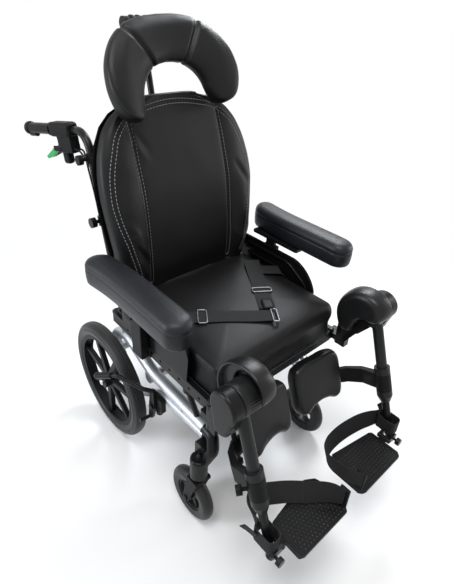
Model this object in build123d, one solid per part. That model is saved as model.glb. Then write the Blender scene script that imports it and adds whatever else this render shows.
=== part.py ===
from build123d import *
from math import atan2, cos, degrees, radians, sin, tan
import os

# Tilt in space wheelchair: one STEP file for each sub-part, in millimetres. +Z is up, the chair faces -Y
# and +X is the user's left. Places are worked out from a working origin on the floor and moved along Y at
# the end, so that the finished chair stands centred on its own bounding box. Pieces in pairs are modelled
# for the left and mirrored.

os.makedirs("parts", exist_ok=True)

# Clearances
running_gap = 0.05  # radial, a shaft in its bore
seat_gap = 0.3  # between pieces that touch or nearly touch
swing_gap = 1.0  # beside a piece that turns

# Rear wheels
rear_wheel_radius = 203.0
rear_wheel_x = 257.0
rear_wheel_y = 151.0
rear_tyre_width = 44.0
rear_tyre_depth = 40.0
rear_rim_width = 34.0
rear_rim_wall = 9.0
rear_hub_radius = 23.0
rear_hub_width = 54.0
rear_spoke_count = 7
rear_spoke_width = 19.0
rear_spoke_depth = 15.0
rear_spoke_phase = 15.0
axle_radius = 6.0
axle_cap_radius = 10.0
axle_cap_length = 7.0

# Castors
castor_radius = 84.0
castor_width = 36.0
castor_rim_radius = 50.0
castor_hub_radius = 14.0
castor_spoke_count = 5
castor_axle_radius = 4.0
castor_x = 245.0
castor_stem_y = -315.0
castor_trail = 25.0
castor_stem_radius = 9.0
castor_crown_z = 188.0
castor_crown_height = 16.0
castor_plate = 5.0
castor_barrel_radius = 25.0
castor_barrel_z = (197.0, 268.0)
castor_cap_radius = 8.0

# Side frames
frame_x = 205.0
frame_tube = 18.0
lower_tube_radius = 14.0
frame_front_y = -290.0
frame_front_z = 332.0
axle_plate_radius = 32.0
axle_plate_half = 19.0
frame_hole_y = (-208.0, -165.0)
frame_hole_z = 331.0
frame_hole_radius = 5.0
cross_tube_radius = 15.0
front_cross = (-15.0, 300.0)
rear_cross = (176.0, 292.0)

# Pivot of the tilting seat
tilt_pivot = (100.0, 455.0)
tilt_pin_radius = 8.0
tilt_eye_radius = 20.0
tilt_eye_half = 9.0
tilt_fork_plate = 6.0

# Seat
rail_x = (224.0, 238.0)
rail_z = (455.0, 490.0)
rail_y = (-350.0, 122.0)
pan_y = (-350.0, 50.0)
pan_plate = 5.0
pan_skirt = 34.0
panel_x = (rail_x[1] - 6.0, rail_x[1] + 1.0)
panel_y = (-256.0, 62.0)
panel_top_z = 645.0
cushion_half_width = 221.0
cushion_front_y = -355.0
cushion_rear_y = 58.0
cushion_top_z = 592.0
cushion_edge_z = 580.0

# Back
recline_pivot = (92.0, 490.0)
recline_pin_radius = 7.0
recline_eye_radius = 15.0
back_lean = 0.24
cane_x = 215.0
cane_radius = 14.0
cane_top_z = 787.0
push_tube_radius = 11.0
back_bottom_z = 590.0
back_top_z = 1090.0
shell_thickness = 8.0

# Headrest
head_centre_z = 1229.0
head_thickness = 50.0
head_post_radius = 9.0
head_shift = -34.0  # the pad stands to one side of its post
head_hinge_z = 44.0  # above the pad's middle

# Arm supports
arm_pad_x = 290.0
arm_pad_width = 77.0
arm_pad_y = (-320.0, 68.0)
arm_pad_z = (668.0, 740.0)
arm_post_x = 250.0
arm_post_y = -53.0
arm_post_half_x = 6.0
arm_post_half_y = 18.0
arm_socket_wall = 7.0
arm_socket_z = (452.0, 640.0)

# Push handles
handle_corner_z = 1003.0
handle_start = (288.0, 992.0)
handle_toe = 16.0
handle_dip = 8.0
housing_length = 90.0
grip_length = 107.0
grip_radius = 15.5

# Leg rests
drum_reach = 102.0  # the drum's axis in front of the seat rails
drum_y = rail_y[0] - drum_reach
drum_z = 612.0
drum_radius = 40.0
knee_gap = 8.0  # between the knee pad's rim and the drum
leg_x = 255.0
leg_lean = 20.4
leg_tube_radius = 15.0
inner_tube_radius = 11.0
swing_x = 252.0
swing_y = rail_y[0] - 14.0
swing_pin_radius = 6.0
foot_hinge = (229.0, 237.0)
foot_plate_x = (31.0, 214.0)
foot_ahead = 63.5  # the plate's reach in front of its hinge's middle
foot_behind = 62.5
foot_thickness = 18.0
foot_top_z = 240.0
strap_thickness = 3.0
strap_height = 46.0
strap_low_z = 250.0
strap_loop_length = 59.0
strap_loop_width = 38.0
strap_loop_corner = 12.0
strap_post_length = 28.0
strap_post_inset = 8.5

# Brakes
brake_reach = 33.0  # the pivot's place in front of the tyre
brake_pivot = (rear_wheel_y - rear_wheel_radius - brake_reach, 262.0)
brake_pin_radius = 5.0

# Gas springs under the seat
tilt_spring_x = 60.0
tilt_spring_foot = (-15.0, 327.0)
tilt_spring_head = (-120.0, 432.0)
recline_spring_x = -60.0
recline_lever_length = 60.0
recline_head_lead = 12.0  # the lever's end behind its pivot, so that its arc stays level
recline_spring_z = recline_pivot[1] - recline_lever_length
spring_body_radius = 11.0
spring_rod_radius = 5.0
spring_eye_radius = 11.0
spring_pin_radius = 4.0
open_pivot_gap = 3.2

nodes = {}


def rod(start, end, radius):
    """A solid round bar from one point to another."""
    axis = Vector(*end) - Vector(*start)
    bar = Cylinder(radius, axis.length, align=(Align.CENTER, Align.CENTER, Align.MIN))
    return Plane(origin=start, z_dir=axis) * bar


def cone(start, end, start_radius, end_radius):
    axis = Vector(*end) - Vector(*start)
    taper = Cone(start_radius, end_radius, axis.length, align=(Align.CENTER, Align.CENTER, Align.MIN))
    return Plane(origin=start, z_dir=axis) * taper


def block(x, y, z, radius=0.0, axis=Axis.Z):
    """A box from (low, high) pairs, with the edges along one axis rounded."""
    size = [abs(pair[1] - pair[0]) for pair in (x, y, z)]
    centre = [(pair[0] + pair[1]) / 2 for pair in (x, y, z)]
    solid = Pos(*centre) * Box(*size)
    if radius > 0:
        solid = fillet(solid.edges().filter_by(axis), radius)
    return solid


def side_plate(points, x):
    """A flat plate with its outline in (y, z), between two x values."""
    outline = make_face(Polyline(*points, close=True))
    low = min(x)
    return Pos(low, 0, 0) * extrude(Plane.YZ * outline, abs(x[1] - x[0]))


def hull_plate(circles, x):
    """A plate between two x values round two circles given as (y, z, radius)."""
    (y0, z0, r0), (y1, z1, r1) = circles
    along = Vector(y1 - y0, z1 - z0, 0)
    across = Vector(-along.Y, along.X, 0).normalized()
    start, end = Vector(y0, z0, 0), Vector(y1, z1, 0)
    corners = [start + across * r0, end + across * r1, end - across * r1, start - across * r0]
    outline = make_face(Polyline(*corners, close=True))
    outline += Pos(y0, z0) * Circle(r0)
    outline += Pos(y1, z1) * Circle(r1)
    return Pos(min(x), 0, 0) * extrude(Plane.YZ * outline, abs(x[1] - x[0]))


def lug_plate(circles, thickness):
    """A plate round two circles given as (x, z, radius), from y = 0 to its thickness."""
    turned = Rot(0, 0, 90) * hull_plate([(-x, z, r) for x, z, r in circles], (0, thickness))
    return turned


def bent_tube(points, radii, radius):
    """A round bar along straight runs joined by arcs."""
    path = FilletPolyline(*points, radius=radii)
    return sweep(Plane(origin=path @ 0, z_dir=path % 0) * Circle(radius), path=path)


def stadium(length, width, plane_z):
    """Four straight-and-arc pieces: a slot outline centred on the origin, its long side on Y."""
    half = width / 2
    straight = max(length / 2 - half, 0.5)
    turn = half * sin(radians(45))
    edges = [Line((half, -straight), (half, straight))]
    edges.append(ThreePointArc((half, straight), (turn, straight + turn), (0, straight + half)))
    edges.append(ThreePointArc((0, straight + half), (-turn, straight + turn), (-half, straight)))
    edges.append(Line((-half, straight), (-half, -straight)))
    edges.append(ThreePointArc((-half, -straight), (-turn, -straight - turn), (0, -straight - half)))
    edges.append(ThreePointArc((0, -straight - half), (turn, -straight - turn), (half, -straight)))
    return Pos(0, 0, plane_z) * make_face(edges)


def rounded_section(half_x, y, corner, plane_z):
    """A rectangle with corner arcs, between two y values, at one height."""
    corner = min(corner, half_x * 0.9, (y[1] - y[0]) * 0.45)
    length = y[1] - y[0]
    return Pos(0, (y[0] + y[1]) / 2, plane_z) * RectangleRounded(half_x * 2, length, corner)


def mirrored(solid):
    return mirror(solid, about=Plane.YZ)


def pair(name, solid):
    nodes[name + "_left"] = solid
    nodes[name + "_right"] = mirrored(solid)


def both_sides(solid):
    return solid + mirrored(solid)


# ---------------------------------------------------------------- wheels

def wheel_blank(profile_points):
    """Turn a closed outline, given as (x, radius), about the X axis."""
    outline = make_face(Polyline(*profile_points, close=True))
    return revolve(outline, axis=Axis.X)


def tyre(radius, width, depth):
    """A solid tyre about the X axis, round over its tread."""
    half = width / 2
    shoulder = radius - depth / 2
    bead = radius - depth
    edges = [Line((-half * 0.86, bead), (-half, shoulder))]
    edges.append(ThreePointArc((-half, shoulder), (0, radius), (half, shoulder)))
    edges.append(Line((half, shoulder), (half * 0.86, bead)))
    edges.append(Line((half * 0.86, bead), (-half * 0.86, bead)))
    return revolve(make_face(edges), axis=Axis.X)


def spokes(count, inner, outer, width, depth, phase):
    """Tapered spokes about the X axis."""
    one = None
    for index in range(count):
        points = [(inner, -width * 0.6), (outer, -width * 0.4), (outer, width * 0.4), (inner, width * 0.6)]
        face = make_face(Polyline(*points, close=True))
        spoke = Pos(-depth / 2, 0, 0) * extrude(Plane.YZ * face, depth)
        spoke = Rot(phase + index * 360 / count, 0, 0) * spoke
        one = spoke if one is None else one + spoke
    return one


def rear_wheel():
    bead = rear_wheel_radius - rear_tyre_depth
    half = rear_rim_width / 2
    floor = bead - rear_rim_wall
    lip = floor - 4
    inside = half - 6
    outline = [(-half, lip), (-half, bead), (half, bead), (half, lip), (inside, floor), (-inside, floor)]
    rim = wheel_blank(outline)
    hub = rod((-rear_hub_width / 2, 0, 0), (rear_hub_width / 2, 0, 0), rear_hub_radius)
    wheel = rim + hub + spokes(
        rear_spoke_count, rear_hub_radius - 4, floor + 2, rear_spoke_width, rear_spoke_depth, rear_spoke_phase
    )
    bore = rod((-rear_hub_width, 0, 0), (rear_hub_width, 0, 0), axle_radius + running_gap)
    return wheel - bore


rear_centre = Pos(rear_wheel_x, rear_wheel_y, rear_wheel_radius)
pair("rear_wheel", rear_centre * rear_wheel())
pair("rear_tyre", rear_centre * tyre(rear_wheel_radius, rear_tyre_width, rear_tyre_depth))

castor_y = castor_stem_y + castor_trail


def castor_wheel():
    """The small wheel in one piece: tyre, rim and spokes."""
    half = castor_width / 2
    floor = castor_rim_radius - 6
    side = half - 6
    rim = wheel_blank([(-side, floor), (-side, castor_rim_radius), (side, castor_rim_radius), (side, floor)])
    hub = rod((-half + 1, 0, 0), (half - 1, 0, 0), castor_hub_radius)
    wheel = rim + hub + spokes(castor_spoke_count, castor_hub_radius - 3, floor + 2, 12, 12, 90)
    wheel += tyre(castor_radius, castor_width, castor_radius - castor_rim_radius)
    return wheel - rod((-castor_width, 0, 0), (castor_width, 0, 0), castor_axle_radius + running_gap)


pair("castor_wheel", Pos(castor_x, castor_y, castor_radius) * castor_wheel())


def castor_fork():
    inner = castor_width / 2 + 3
    outer = inner + castor_plate
    fork = None
    crown_half = 21
    base_z = castor_crown_z - 4
    outline = [
        (castor_y - 13, castor_radius),
        (castor_stem_y - crown_half, base_z),
        (castor_stem_y - crown_half, castor_crown_z),
        (castor_stem_y + crown_half, castor_crown_z),
        (castor_stem_y + crown_half, base_z),
        (castor_y + 13, castor_radius),
    ]
    for low in (castor_x - outer, castor_x + inner):
        plate = side_plate(outline, (low, low + castor_plate))
        plate += rod((low, castor_y, castor_radius), (low + castor_plate, castor_y, castor_radius), 13)
        fork = plate if fork is None else fork + plate
    crown_x = (castor_x - outer, castor_x + outer)
    crown_y = (castor_stem_y - crown_half, castor_stem_y + crown_half)
    crown_z = (castor_crown_z - castor_crown_height + 4, castor_crown_z)
    fork += block(crown_x, crown_y, crown_z)
    stem_top = castor_barrel_z[1] - 12
    crown = (castor_x, castor_stem_y, castor_crown_z)
    fork += rod(crown, (castor_x, castor_stem_y, castor_barrel_z[0] - seat_gap), 17)
    fork += rod(crown, (castor_x, castor_stem_y, stem_top), castor_stem_radius)
    bolt_half = outer + 4
    left = (castor_x - bolt_half, castor_y, castor_radius)
    right = (castor_x + bolt_half, castor_y, castor_radius)
    fork += rod(left, right, castor_axle_radius)
    fork += rod(left, (castor_x - outer, castor_y, castor_radius), castor_axle_radius + 4)
    fork += rod((castor_x + outer, castor_y, castor_radius), right, castor_axle_radius + 4)
    return fork


pair("castor_fork", castor_fork())

# ---------------------------------------------------------------- chassis

upper_points = [
    (frame_x, frame_front_y, frame_front_z),
    (frame_x, -40, frame_front_z + 10),
    (frame_x, 95, 400),
    (frame_x, 185, 362),
    (frame_x, rear_wheel_y + 14, rear_wheel_radius),
]
lower_points = [
    (frame_x, rear_wheel_y + 4, rear_wheel_radius - 4),
    (frame_x, 45, 195),
    (frame_x, -90, frame_front_z - 40),
    (frame_x, frame_front_y, frame_front_z - frame_tube - lower_tube_radius + 4),
]


def side_frame():
    frame = bent_tube(upper_points, [150, 78, 58], frame_tube)
    frame += bent_tube(lower_points, [90, 150], lower_tube_radius)
    web_top = frame_front_z + 4
    web_bottom = frame_front_z - frame_tube - 8
    frame += block((frame_x - 6, frame_x + 6), (frame_front_y, -95), (web_bottom, web_top))
    plate_x = (frame_x - axle_plate_half, frame_x + axle_plate_half)
    plate = hull_plate([(rear_wheel_y, rear_wheel_radius, axle_plate_radius), (170, 268, 16)], plate_x)
    frame += plate
    eye_x = (frame_x - tilt_eye_half, frame_x + tilt_eye_half)
    stub_foot = (tilt_pivot[0] + 13, 386)
    stub_top = (tilt_pivot[0] + 5, tilt_pivot[1] - 30)
    frame += rod((frame_x, *stub_foot), (frame_x, *stub_top), 13)
    frame += hull_plate([(*tilt_pivot, tilt_eye_radius), (stub_foot[0] - 3, stub_foot[1] + 16, 12)], eye_x)
    pin_from = (frame_x - 40, *tilt_pivot)
    pin_to = (frame_x + 40, *tilt_pivot)
    frame -= rod(pin_from, pin_to, tilt_pin_radius + running_gap)
    axle_from = (frame_x - 40, rear_wheel_y, rear_wheel_radius)
    axle_to = (frame_x + 40, rear_wheel_y, rear_wheel_radius)
    frame -= rod(axle_from, axle_to, axle_radius + running_gap)
    for hole_y in frame_hole_y:
        hole_floor = (frame_x + 4, hole_y, frame_hole_z)
        frame -= rod(hole_floor, (frame_x + 40, hole_y, frame_hole_z), frame_hole_radius)
    return frame


left_frame = side_frame()
pair("side_frame", left_frame)

cross_tubes = rod((-frame_x, *front_cross), (frame_x, *front_cross), cross_tube_radius)
cross_tubes += rod((-frame_x, *rear_cross), (frame_x, *rear_cross), cross_tube_radius)
gusset_top = (front_cross[0], frame_front_z + 2, cross_tube_radius)
gusset_circles = [(*front_cross, cross_tube_radius + 2), gusset_top]
cross_tubes += both_sides(hull_plate(gusset_circles, (frame_x - 12, frame_x + 4)))
spring_lug_half = 12.0
lug_circles = [(*front_cross, 12), (*tilt_spring_foot, 11)]
for side in (-1, 1):
    near = tilt_spring_x + side * (spring_lug_half + seat_gap)
    far = near + side * 5
    cross_tubes += hull_plate(lug_circles, (near, far))
lug_low = (tilt_spring_x - spring_lug_half - 3, *tilt_spring_foot)
lug_high = (tilt_spring_x + spring_lug_half + 3, *tilt_spring_foot)
cross_tubes += rod(lug_low, lug_high, spring_pin_radius)
cross_tubes -= both_sides(left_frame)
nodes["cross_tubes"] = cross_tubes


def castor_housing():
    """The black end piece of the side frame, with the castor's upright bearing barrel."""
    barrel_low, barrel_high = castor_barrel_z
    barrel_foot = (castor_x, castor_stem_y, barrel_low)
    barrel = rod(barrel_foot, (castor_x, castor_stem_y, barrel_high), castor_barrel_radius)
    housing = fillet(barrel.edges().group_by(Axis.Z)[-1], 7)
    start = (frame_x, frame_front_y, frame_front_z)
    nose = (frame_x + 3, frame_front_y - 34, frame_front_z - 3)
    knee = (frame_x + 14, frame_front_y - 50, frame_front_z - 34)
    foot = (castor_x - 12, castor_stem_y - 6, barrel_high - 22)
    housing += bent_tube([start, nose, knee, foot], [18, 22], frame_tube - 1)
    housing += Pos(*foot) * Sphere(frame_tube - 1)
    web_y = (castor_stem_y - 12, frame_front_y + 4)
    housing += block((frame_x - 9, castor_x - 8), web_y, (barrel_high - 16, frame_front_z - 32), 5, Axis.X)
    cap_foot = (castor_x, castor_stem_y, barrel_high - 2)
    housing += rod(cap_foot, (castor_x, castor_stem_y, barrel_high + 4), castor_cap_radius + 3)
    housing += Pos(castor_x, castor_stem_y, barrel_high + 4) * Sphere(castor_cap_radius)
    bore_top = barrel_high - 10
    stem_bore = castor_stem_radius + running_gap
    housing -= rod((castor_x, castor_stem_y, barrel_low - 1), (castor_x, castor_stem_y, bore_top), stem_bore)
    return housing - left_frame


nodes["castor_housings"] = both_sides(castor_housing())


def axle_piece(low, high, radius):
    """A round piece on the rear axle's line, between two x values."""
    return rod((low, rear_wheel_y, rear_wheel_radius), (high, rear_wheel_y, rear_wheel_radius), radius)


axle_end = rear_wheel_x + rear_hub_width / 2 + swing_gap
axle = axle_piece(frame_x - 20, axle_end + 2, axle_radius)
cap = axle_piece(axle_end, axle_end + axle_cap_length, axle_cap_radius)
axle += fillet(cap.edges().group_by(Axis.X)[-1], 3)
spacer_start = frame_x + axle_plate_half + seat_gap
axle += axle_piece(spacer_start, rear_wheel_x - rear_hub_width / 2 - seat_gap, axle_cap_radius + 1)
nut_end = frame_x - axle_plate_half - seat_gap
axle += axle_piece(nut_end - 8, nut_end, axle_cap_radius)
nodes["axle_pins"] = both_sides(axle)

# Fixed rests for the seat's front corners
rest_top = rail_z[0] - 8 - seat_gap
rest = rod((frame_x, -258, frame_front_z + 6), (frame_x + 16, -232, rest_top - 10), 8)
rest += rod((frame_x + 16, -232, rest_top - 14), (frame_x + 16, -232, rest_top), 13)
rest += rod((frame_x + 16, -232, rest_top), (frame_x + 16, -232, rest_top + 8), 10)
rest -= left_frame
nodes["seat_rests"] = both_sides(rest)


# ---------------------------------------------------------------- brakes

brake_block_x = (frame_x + lower_tube_radius + seat_gap, frame_x + 30)
brake_side_x = brake_block_x[1] + seat_gap


def brake_mount():
    y, z = brake_pivot
    mount = block(brake_block_x, (y - 39, y + 23), (z - 10, z + 40), 5, Axis.X)
    mount += hull_plate([(y, z, 14), (y - 10, z + 18, 16)], brake_block_x)
    mount += rod((brake_block_x[0], *brake_pivot), (brake_side_x + 12, *brake_pivot), brake_pin_radius)
    mount += rod((brake_side_x + 9 + seat_gap, *brake_pivot), (brake_side_x + 14, *brake_pivot), 9)
    knob_x = brake_block_x[0] + 3
    mount += rod((knob_x, y - 10, z - 6), (knob_x, y - 10, z - 24), 4)
    mount += rod((knob_x, y - 10, z - 22), (knob_x, y - 10, z - 34), 11)
    return mount


nodes["brake_mounts"] = both_sides(brake_mount())


def brake_lever():
    """Cam plate with the tyre pin below its pivot, and a cranked handle that runs back beside the wheel."""
    plate_x = (brake_side_x, brake_side_x + 9)
    y, z = brake_pivot
    beside = rear_wheel_x + rear_tyre_width / 2
    lever = hull_plate([(y, z, 14), (y + 9, z - 46, 10)], plate_x)
    lever += hull_plate([(y, z, 14), (y - 3, z + 60, 9)], plate_x)
    lever += rod((plate_x[0], y + 8, z - 46), (beside, y + 12, z - 48), 5.5)
    bend = Vector(beside + 21, y + 91, z + 90)
    tip = Vector(beside + 52, y + 161, z + 56)
    handle = [(plate_x[0] + 4, y - 5, z + 63), (beside - 17, y + 15, z + 72), tuple(bend), tuple(tip)]
    lever += bent_tube(handle, [12, 30], 6.5)
    grip_from = bend + (tip - bend).normalized() * 22
    lever += rod(tuple(grip_from), tuple(tip), 10)
    lever += Pos(*tip) * Sphere(10)
    lever -= rod((plate_x[0] - 5, y, z), (plate_x[1] + 5, y, z), brake_pin_radius + running_gap)
    return lever


pair("brake_lever", brake_lever())

# ---------------------------------------------------------------- seat

rail_middle_z = (rail_z[0] + rail_z[1]) / 2


def seat_rail():
    rail = block(rail_x, rail_y, rail_z)
    outer = rail_x[1]
    for step in range(9):
        hole_y = -300 + step * 42
        rail -= rod((outer - 5, hole_y, rail_middle_z), (outer + 1, hole_y, rail_middle_z), 4)
    bracket = [(*recline_pivot, 17), (recline_pivot[0], rail_middle_z, 17)]
    rail += hull_plate(bracket, (rail_x[0], rail_x[0] + 7))
    rail += rod((cane_x - 8, *recline_pivot), (rail_x[0] + 3, *recline_pivot), recline_pin_radius)
    fork_inner = frame_x - tilt_eye_half - swing_gap
    fork_outer = frame_x + tilt_eye_half + swing_gap
    for low in (fork_inner - tilt_fork_plate, fork_outer):
        plate_x = (low, low + tilt_fork_plate)
        rail += hull_plate([(*tilt_pivot, 19), (tilt_pivot[0] + 36, rail_z[0] + 14, 14)], plate_x)
    rail += rod((fork_inner - 4, *tilt_pivot), (rail_x[0] + 3, *tilt_pivot), tilt_pin_radius)
    lug = block((rail_x[1] - 4, swing_x + 10), (swing_y - 12, rail_y[0] + 16), (463, 481), 4)
    rail += block(rail_x, (swing_y - 12, rail_y[0] + 4), (463, 481))
    rail += lug
    rail += rod((swing_x, swing_y, 438), (swing_x, swing_y, 520), swing_pin_radius)
    rail += rod((swing_x, swing_y, 520), (swing_x, swing_y, 526), swing_pin_radius + 5)
    return rail


rear_bar = (tilt_pivot[0] + 36, rail_z[0] + 14)
seat_frame = both_sides(seat_rail())
seat_frame += rod((-rail_x[0] - 2, *rear_bar), (rail_x[0] + 2, *rear_bar), 13)
buffer_plate = block((frame_x + 2, rail_x[0] + 1), (-246, -218), (rest_top + 8 + seat_gap, rail_z[0] + 12))
seat_frame += both_sides(buffer_plate)


def spring_lug(x, place, top):
    """Two plates that hang from the seat with a pin across them."""
    lug = None
    for side in (-1, 1):
        near = x + side * (spring_lug_half + seat_gap)
        plate = hull_plate([(*place, 9), (place[0], top - 4, 9)], (near, near + side * 5))
        lug = plate if lug is None else lug + plate
    ends = spring_lug_half + 3
    return lug + rod((x - ends, *place), (x + ends, *place), spring_pin_radius)


pan_bottom = rail_z[1] - 4 - pan_skirt
pan_half = rail_x[0] - seat_gap
pan = block((-pan_half, pan_half), pan_y, (rail_z[1] - 4 - pan_plate, rail_z[1] - 4))
pan += block((-pan_half, pan_half), (pan_y[0], pan_y[0] + 5), (pan_bottom, rail_z[1] - 4))
for rib_y in (-240.0, -120.0, 0.0):
    pan += block((-186, 186), (rib_y - 8, rib_y + 8), (rail_z[1] - 24, rail_z[1] - 6))
recline_foot = (-90.0, recline_spring_z)
pan += spring_lug(tilt_spring_x, tilt_spring_head, rail_z[1] - 12)
pan += spring_lug(recline_spring_x, recline_foot, rail_z[1] - 12)
nodes["seat_frame"] = seat_frame
nodes["seat_pan"] = pan


def seat_cushion():
    """Boxed cushion with drawn-in sides and a crowned top."""
    bottom = rail_z[1] - 4 + seat_gap
    levels = [(bottom, 4), (bottom + 30, 1), (cushion_edge_z - 9, 0), (cushion_edge_z, 3)]
    levels += [(cushion_edge_z + 6, 12), (cushion_top_z - 2, 50), (cushion_top_z, 120)]
    sections = []
    for z, inset in levels:
        span = (cushion_front_y + inset, cushion_rear_y - inset)
        sections.append(rounded_section(cushion_half_width - inset, span, 22 + inset / 2, z))
    return loft(sections, ruled=True)


nodes["seat_cushion"] = seat_cushion()


def side_panel():
    """Clothes guard with a rounded front and raised ribs on its inner face."""
    bottom = rail_z[1] + seat_gap
    top = panel_top_z
    front, rear = panel_y
    outline = Polyline((rear, bottom), (rear, top - 14), (rear - 14, top), (front + 91, top))
    curve = ThreePointArc((front + 91, top), (front + 22, top - 38), (front, bottom + 78))
    foot = Polyline((front, bottom + 78), (front + 6, bottom), (rear, bottom))
    face = make_face(Wire([*outline.edges(), *curve.edges(), *foot.edges()]))
    panel = Pos(panel_x[0], 0, 0) * extrude(Plane.YZ * face, panel_x[1] - panel_x[0])
    rib_x = panel_x[0] - 2
    rib_points = [(rib_x, rear - 22, top - 20), (rib_x, rear - 212, top - 20)]
    rib_points += [(rib_x, front + 30, top - 66), (rib_x, front + 18, bottom + 60)]
    panel += bent_tube(rib_points, [60, 50], 3.5)
    panel += rod((rib_x, rear - 32, top - 56), (rib_x, rear - 182, top - 56), 3)
    return panel


nodes["side_panels"] = both_sides(side_panel())


def arm_socket():
    """Square socket on the seat rail, with the bolt-on foot that carries it."""
    wall = arm_socket_wall
    x = (arm_post_x - arm_post_half_x - wall, arm_post_x + arm_post_half_x + wall)
    x = (max(x[0], panel_x[1] + seat_gap), x[1])
    y = (arm_post_y - arm_post_half_y - wall, arm_post_y + arm_post_half_y + wall)
    socket = block(x, y, arm_socket_z, 3, Axis.Z)
    socket += block((rail_x[1] + seat_gap, x[0] + 2), (y[0] - 10, y[1] + 10), rail_z)
    slot_x = (arm_post_x - arm_post_half_x - 0.1, arm_post_x + arm_post_half_x + 0.1)
    slot_y = (arm_post_y - arm_post_half_y - 0.1, arm_post_y + arm_post_half_y + 0.1)
    socket -= block(slot_x, slot_y, (arm_socket_z[0] + 8, arm_socket_z[1] + 1))
    knob_z = arm_socket_z[1] - 40
    socket += rod((x[1] - 1, arm_post_y, knob_z), (x[1] + 8, arm_post_y, knob_z), 6)
    socket += rod((x[1] + 7, arm_post_y, knob_z), (x[1] + 20, arm_post_y, knob_z), 15)
    return socket


nodes["arm_sockets"] = both_sides(arm_socket())


def arm_post():
    x = (arm_post_x - arm_post_half_x, arm_post_x + arm_post_half_x)
    y = (arm_post_y - arm_post_half_y, arm_post_y + arm_post_half_y)
    top = arm_pad_z[0] - seat_gap
    post = block(x, y, (arm_socket_z[0] + 22, top - 6), 2, Axis.Z)
    post += block((x[0], arm_pad_x + 22), (arm_post_y - 110, arm_post_y + 80), (top - 9, top), 6, Axis.Z)
    return post


pair("arm_post", arm_post())


def arm_pad():
    length = arm_pad_y[1] - arm_pad_y[0]
    low, high = arm_pad_z
    width = arm_pad_width
    layers = [(low, 14), (low + 9, 3), (low + 46, 0), (high - 12, 6), (high - 3, 24), (high, 44)]
    sections = [stadium(length - inset, width - inset, z) for z, inset in layers]
    return Pos(arm_pad_x, (arm_pad_y[0] + arm_pad_y[1]) / 2, 0) * loft(sections)


pair("arm_pad", arm_pad())

# ---------------------------------------------------------------- lap belt

belt_width = 48.0
belt_thickness = 2.5
belt_top_z = cushion_top_z + 0.6
belt_drop_x = cushion_half_width + 2.0


def flat_strap(start, end, z, width, edge_x=None):
    """A flat strap between two points in plan; with edge_x its first end is cut along that x."""
    along = Vector(end[0] - start[0], end[1] - start[1], 0).normalized()
    across = Vector(-along.Y, along.X, 0) * (width / 2)
    corners = []
    for side in (1, -1):
        near = Vector(*start, 0) + across * side
        if edge_x is not None:
            near = near + along * ((edge_x - near.X) / along.X)
        corners.append((near, Vector(*end, 0) + across * side))
    outline = [corners[0][0], corners[0][1], corners[1][1], corners[1][0]]
    return Pos(0, 0, z) * extrude(make_face(Polyline(*outline, close=True)), belt_thickness)


def drop_strap(side, y):
    """The strap's anchored end, flat against the cushion's side."""
    x = (side * belt_drop_x, side * (belt_drop_x + belt_thickness))
    z = (rail_z[1] + seat_gap, belt_top_z + belt_thickness)
    return block((min(x), max(x)), (y - belt_width / 2, y + belt_width / 2), z)


belt_join = (22.0, -280.0)
right_edge = (-belt_drop_x - belt_thickness, -101.0)
left_edge = (belt_drop_x + belt_thickness, -132.0)
left_fold = (150.0, -82.0)
lap_belt = flat_strap(right_edge, belt_join, belt_top_z, belt_width, right_edge[0])
lap_belt += flat_strap(left_edge, left_fold, belt_top_z, belt_width, left_edge[0])
lap_belt += drop_strap(-1, right_edge[1]) + drop_strap(1, left_edge[1])
lap_belt += flat_strap(left_fold, (64.0, -212.0), belt_top_z, belt_width)
nodes["lap_belt"] = lap_belt


def bar_frame(place, turn, length, width, bar, z):
    """A flat rectangular wire frame."""
    outer = Box(length, width, bar) - Box(length - 2 * bar, width - 2 * bar, bar * 2)
    return Pos(place[0], place[1], z + bar / 2) * Rot(0, 0, turn) * outer


buckle_z = belt_top_z + belt_thickness + seat_gap
belt_turn = degrees(atan2(belt_join[1] - right_edge[1], belt_join[0] - right_edge[0]))
fold_turn = degrees(atan2(-212 - left_fold[1], 64 - left_fold[0]))
buckle = bar_frame((-128, -168), belt_turn, 24, 58, 4, buckle_z)
buckle += bar_frame((84, -197), fold_turn, 20, 58, 4, buckle_z)
buckle += bar_frame((45, -242), fold_turn, 26, 52, 4, cushion_top_z + seat_gap)
buckle += bar_frame((24, -284), belt_turn, 22, 58, 5, buckle_z)
nodes["belt_buckles"] = buckle

# ---------------------------------------------------------------- gas springs

def spring_body(foot, head, length, x):
    """The cylinder of a gas spring, with an eye at its foot."""
    way = Vector(0, head[0] - foot[0], head[1] - foot[1]).normalized()
    start = Vector(x, *foot)
    body = rod(tuple(start + way * 14), tuple(start + way * length), spring_body_radius)
    body += rod(tuple(start), tuple(start + way * 16), 6)
    body += rod((x - spring_lug_half, *foot), (x + spring_lug_half, *foot), spring_eye_radius - 1)
    bore = rod(tuple(start + way * 20), tuple(start + way * (length + 1)), spring_rod_radius + running_gap)
    body -= bore
    body -= rod((x - 20, *foot), (x + 20, *foot), spring_pin_radius + running_gap)
    return body


def spring_rod(foot, head, depth, x):
    """The rod of a gas spring, with a loose eye at its head."""
    way = Vector(0, head[0] - foot[0], head[1] - foot[1]).normalized()
    end = Vector(x, *head)
    start = Vector(x, *foot) + way * depth
    eye_half = spring_lug_half - 1
    bar = rod(tuple(start), tuple(end - way * 4), spring_rod_radius)
    bar += rod((x - eye_half, *head), (x + eye_half, *head), spring_eye_radius)
    bar -= rod((x - 20, *head), (x + 20, *head), spring_pin_radius + open_pivot_gap)
    return bar


tilt_body_length = 118.0
nodes["tilt_cylinder"] = spring_body(tilt_spring_foot, tilt_spring_head, tilt_body_length, tilt_spring_x)
nodes["tilt_rod"] = spring_rod(tilt_spring_foot, tilt_spring_head, 30, tilt_spring_x)

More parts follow.
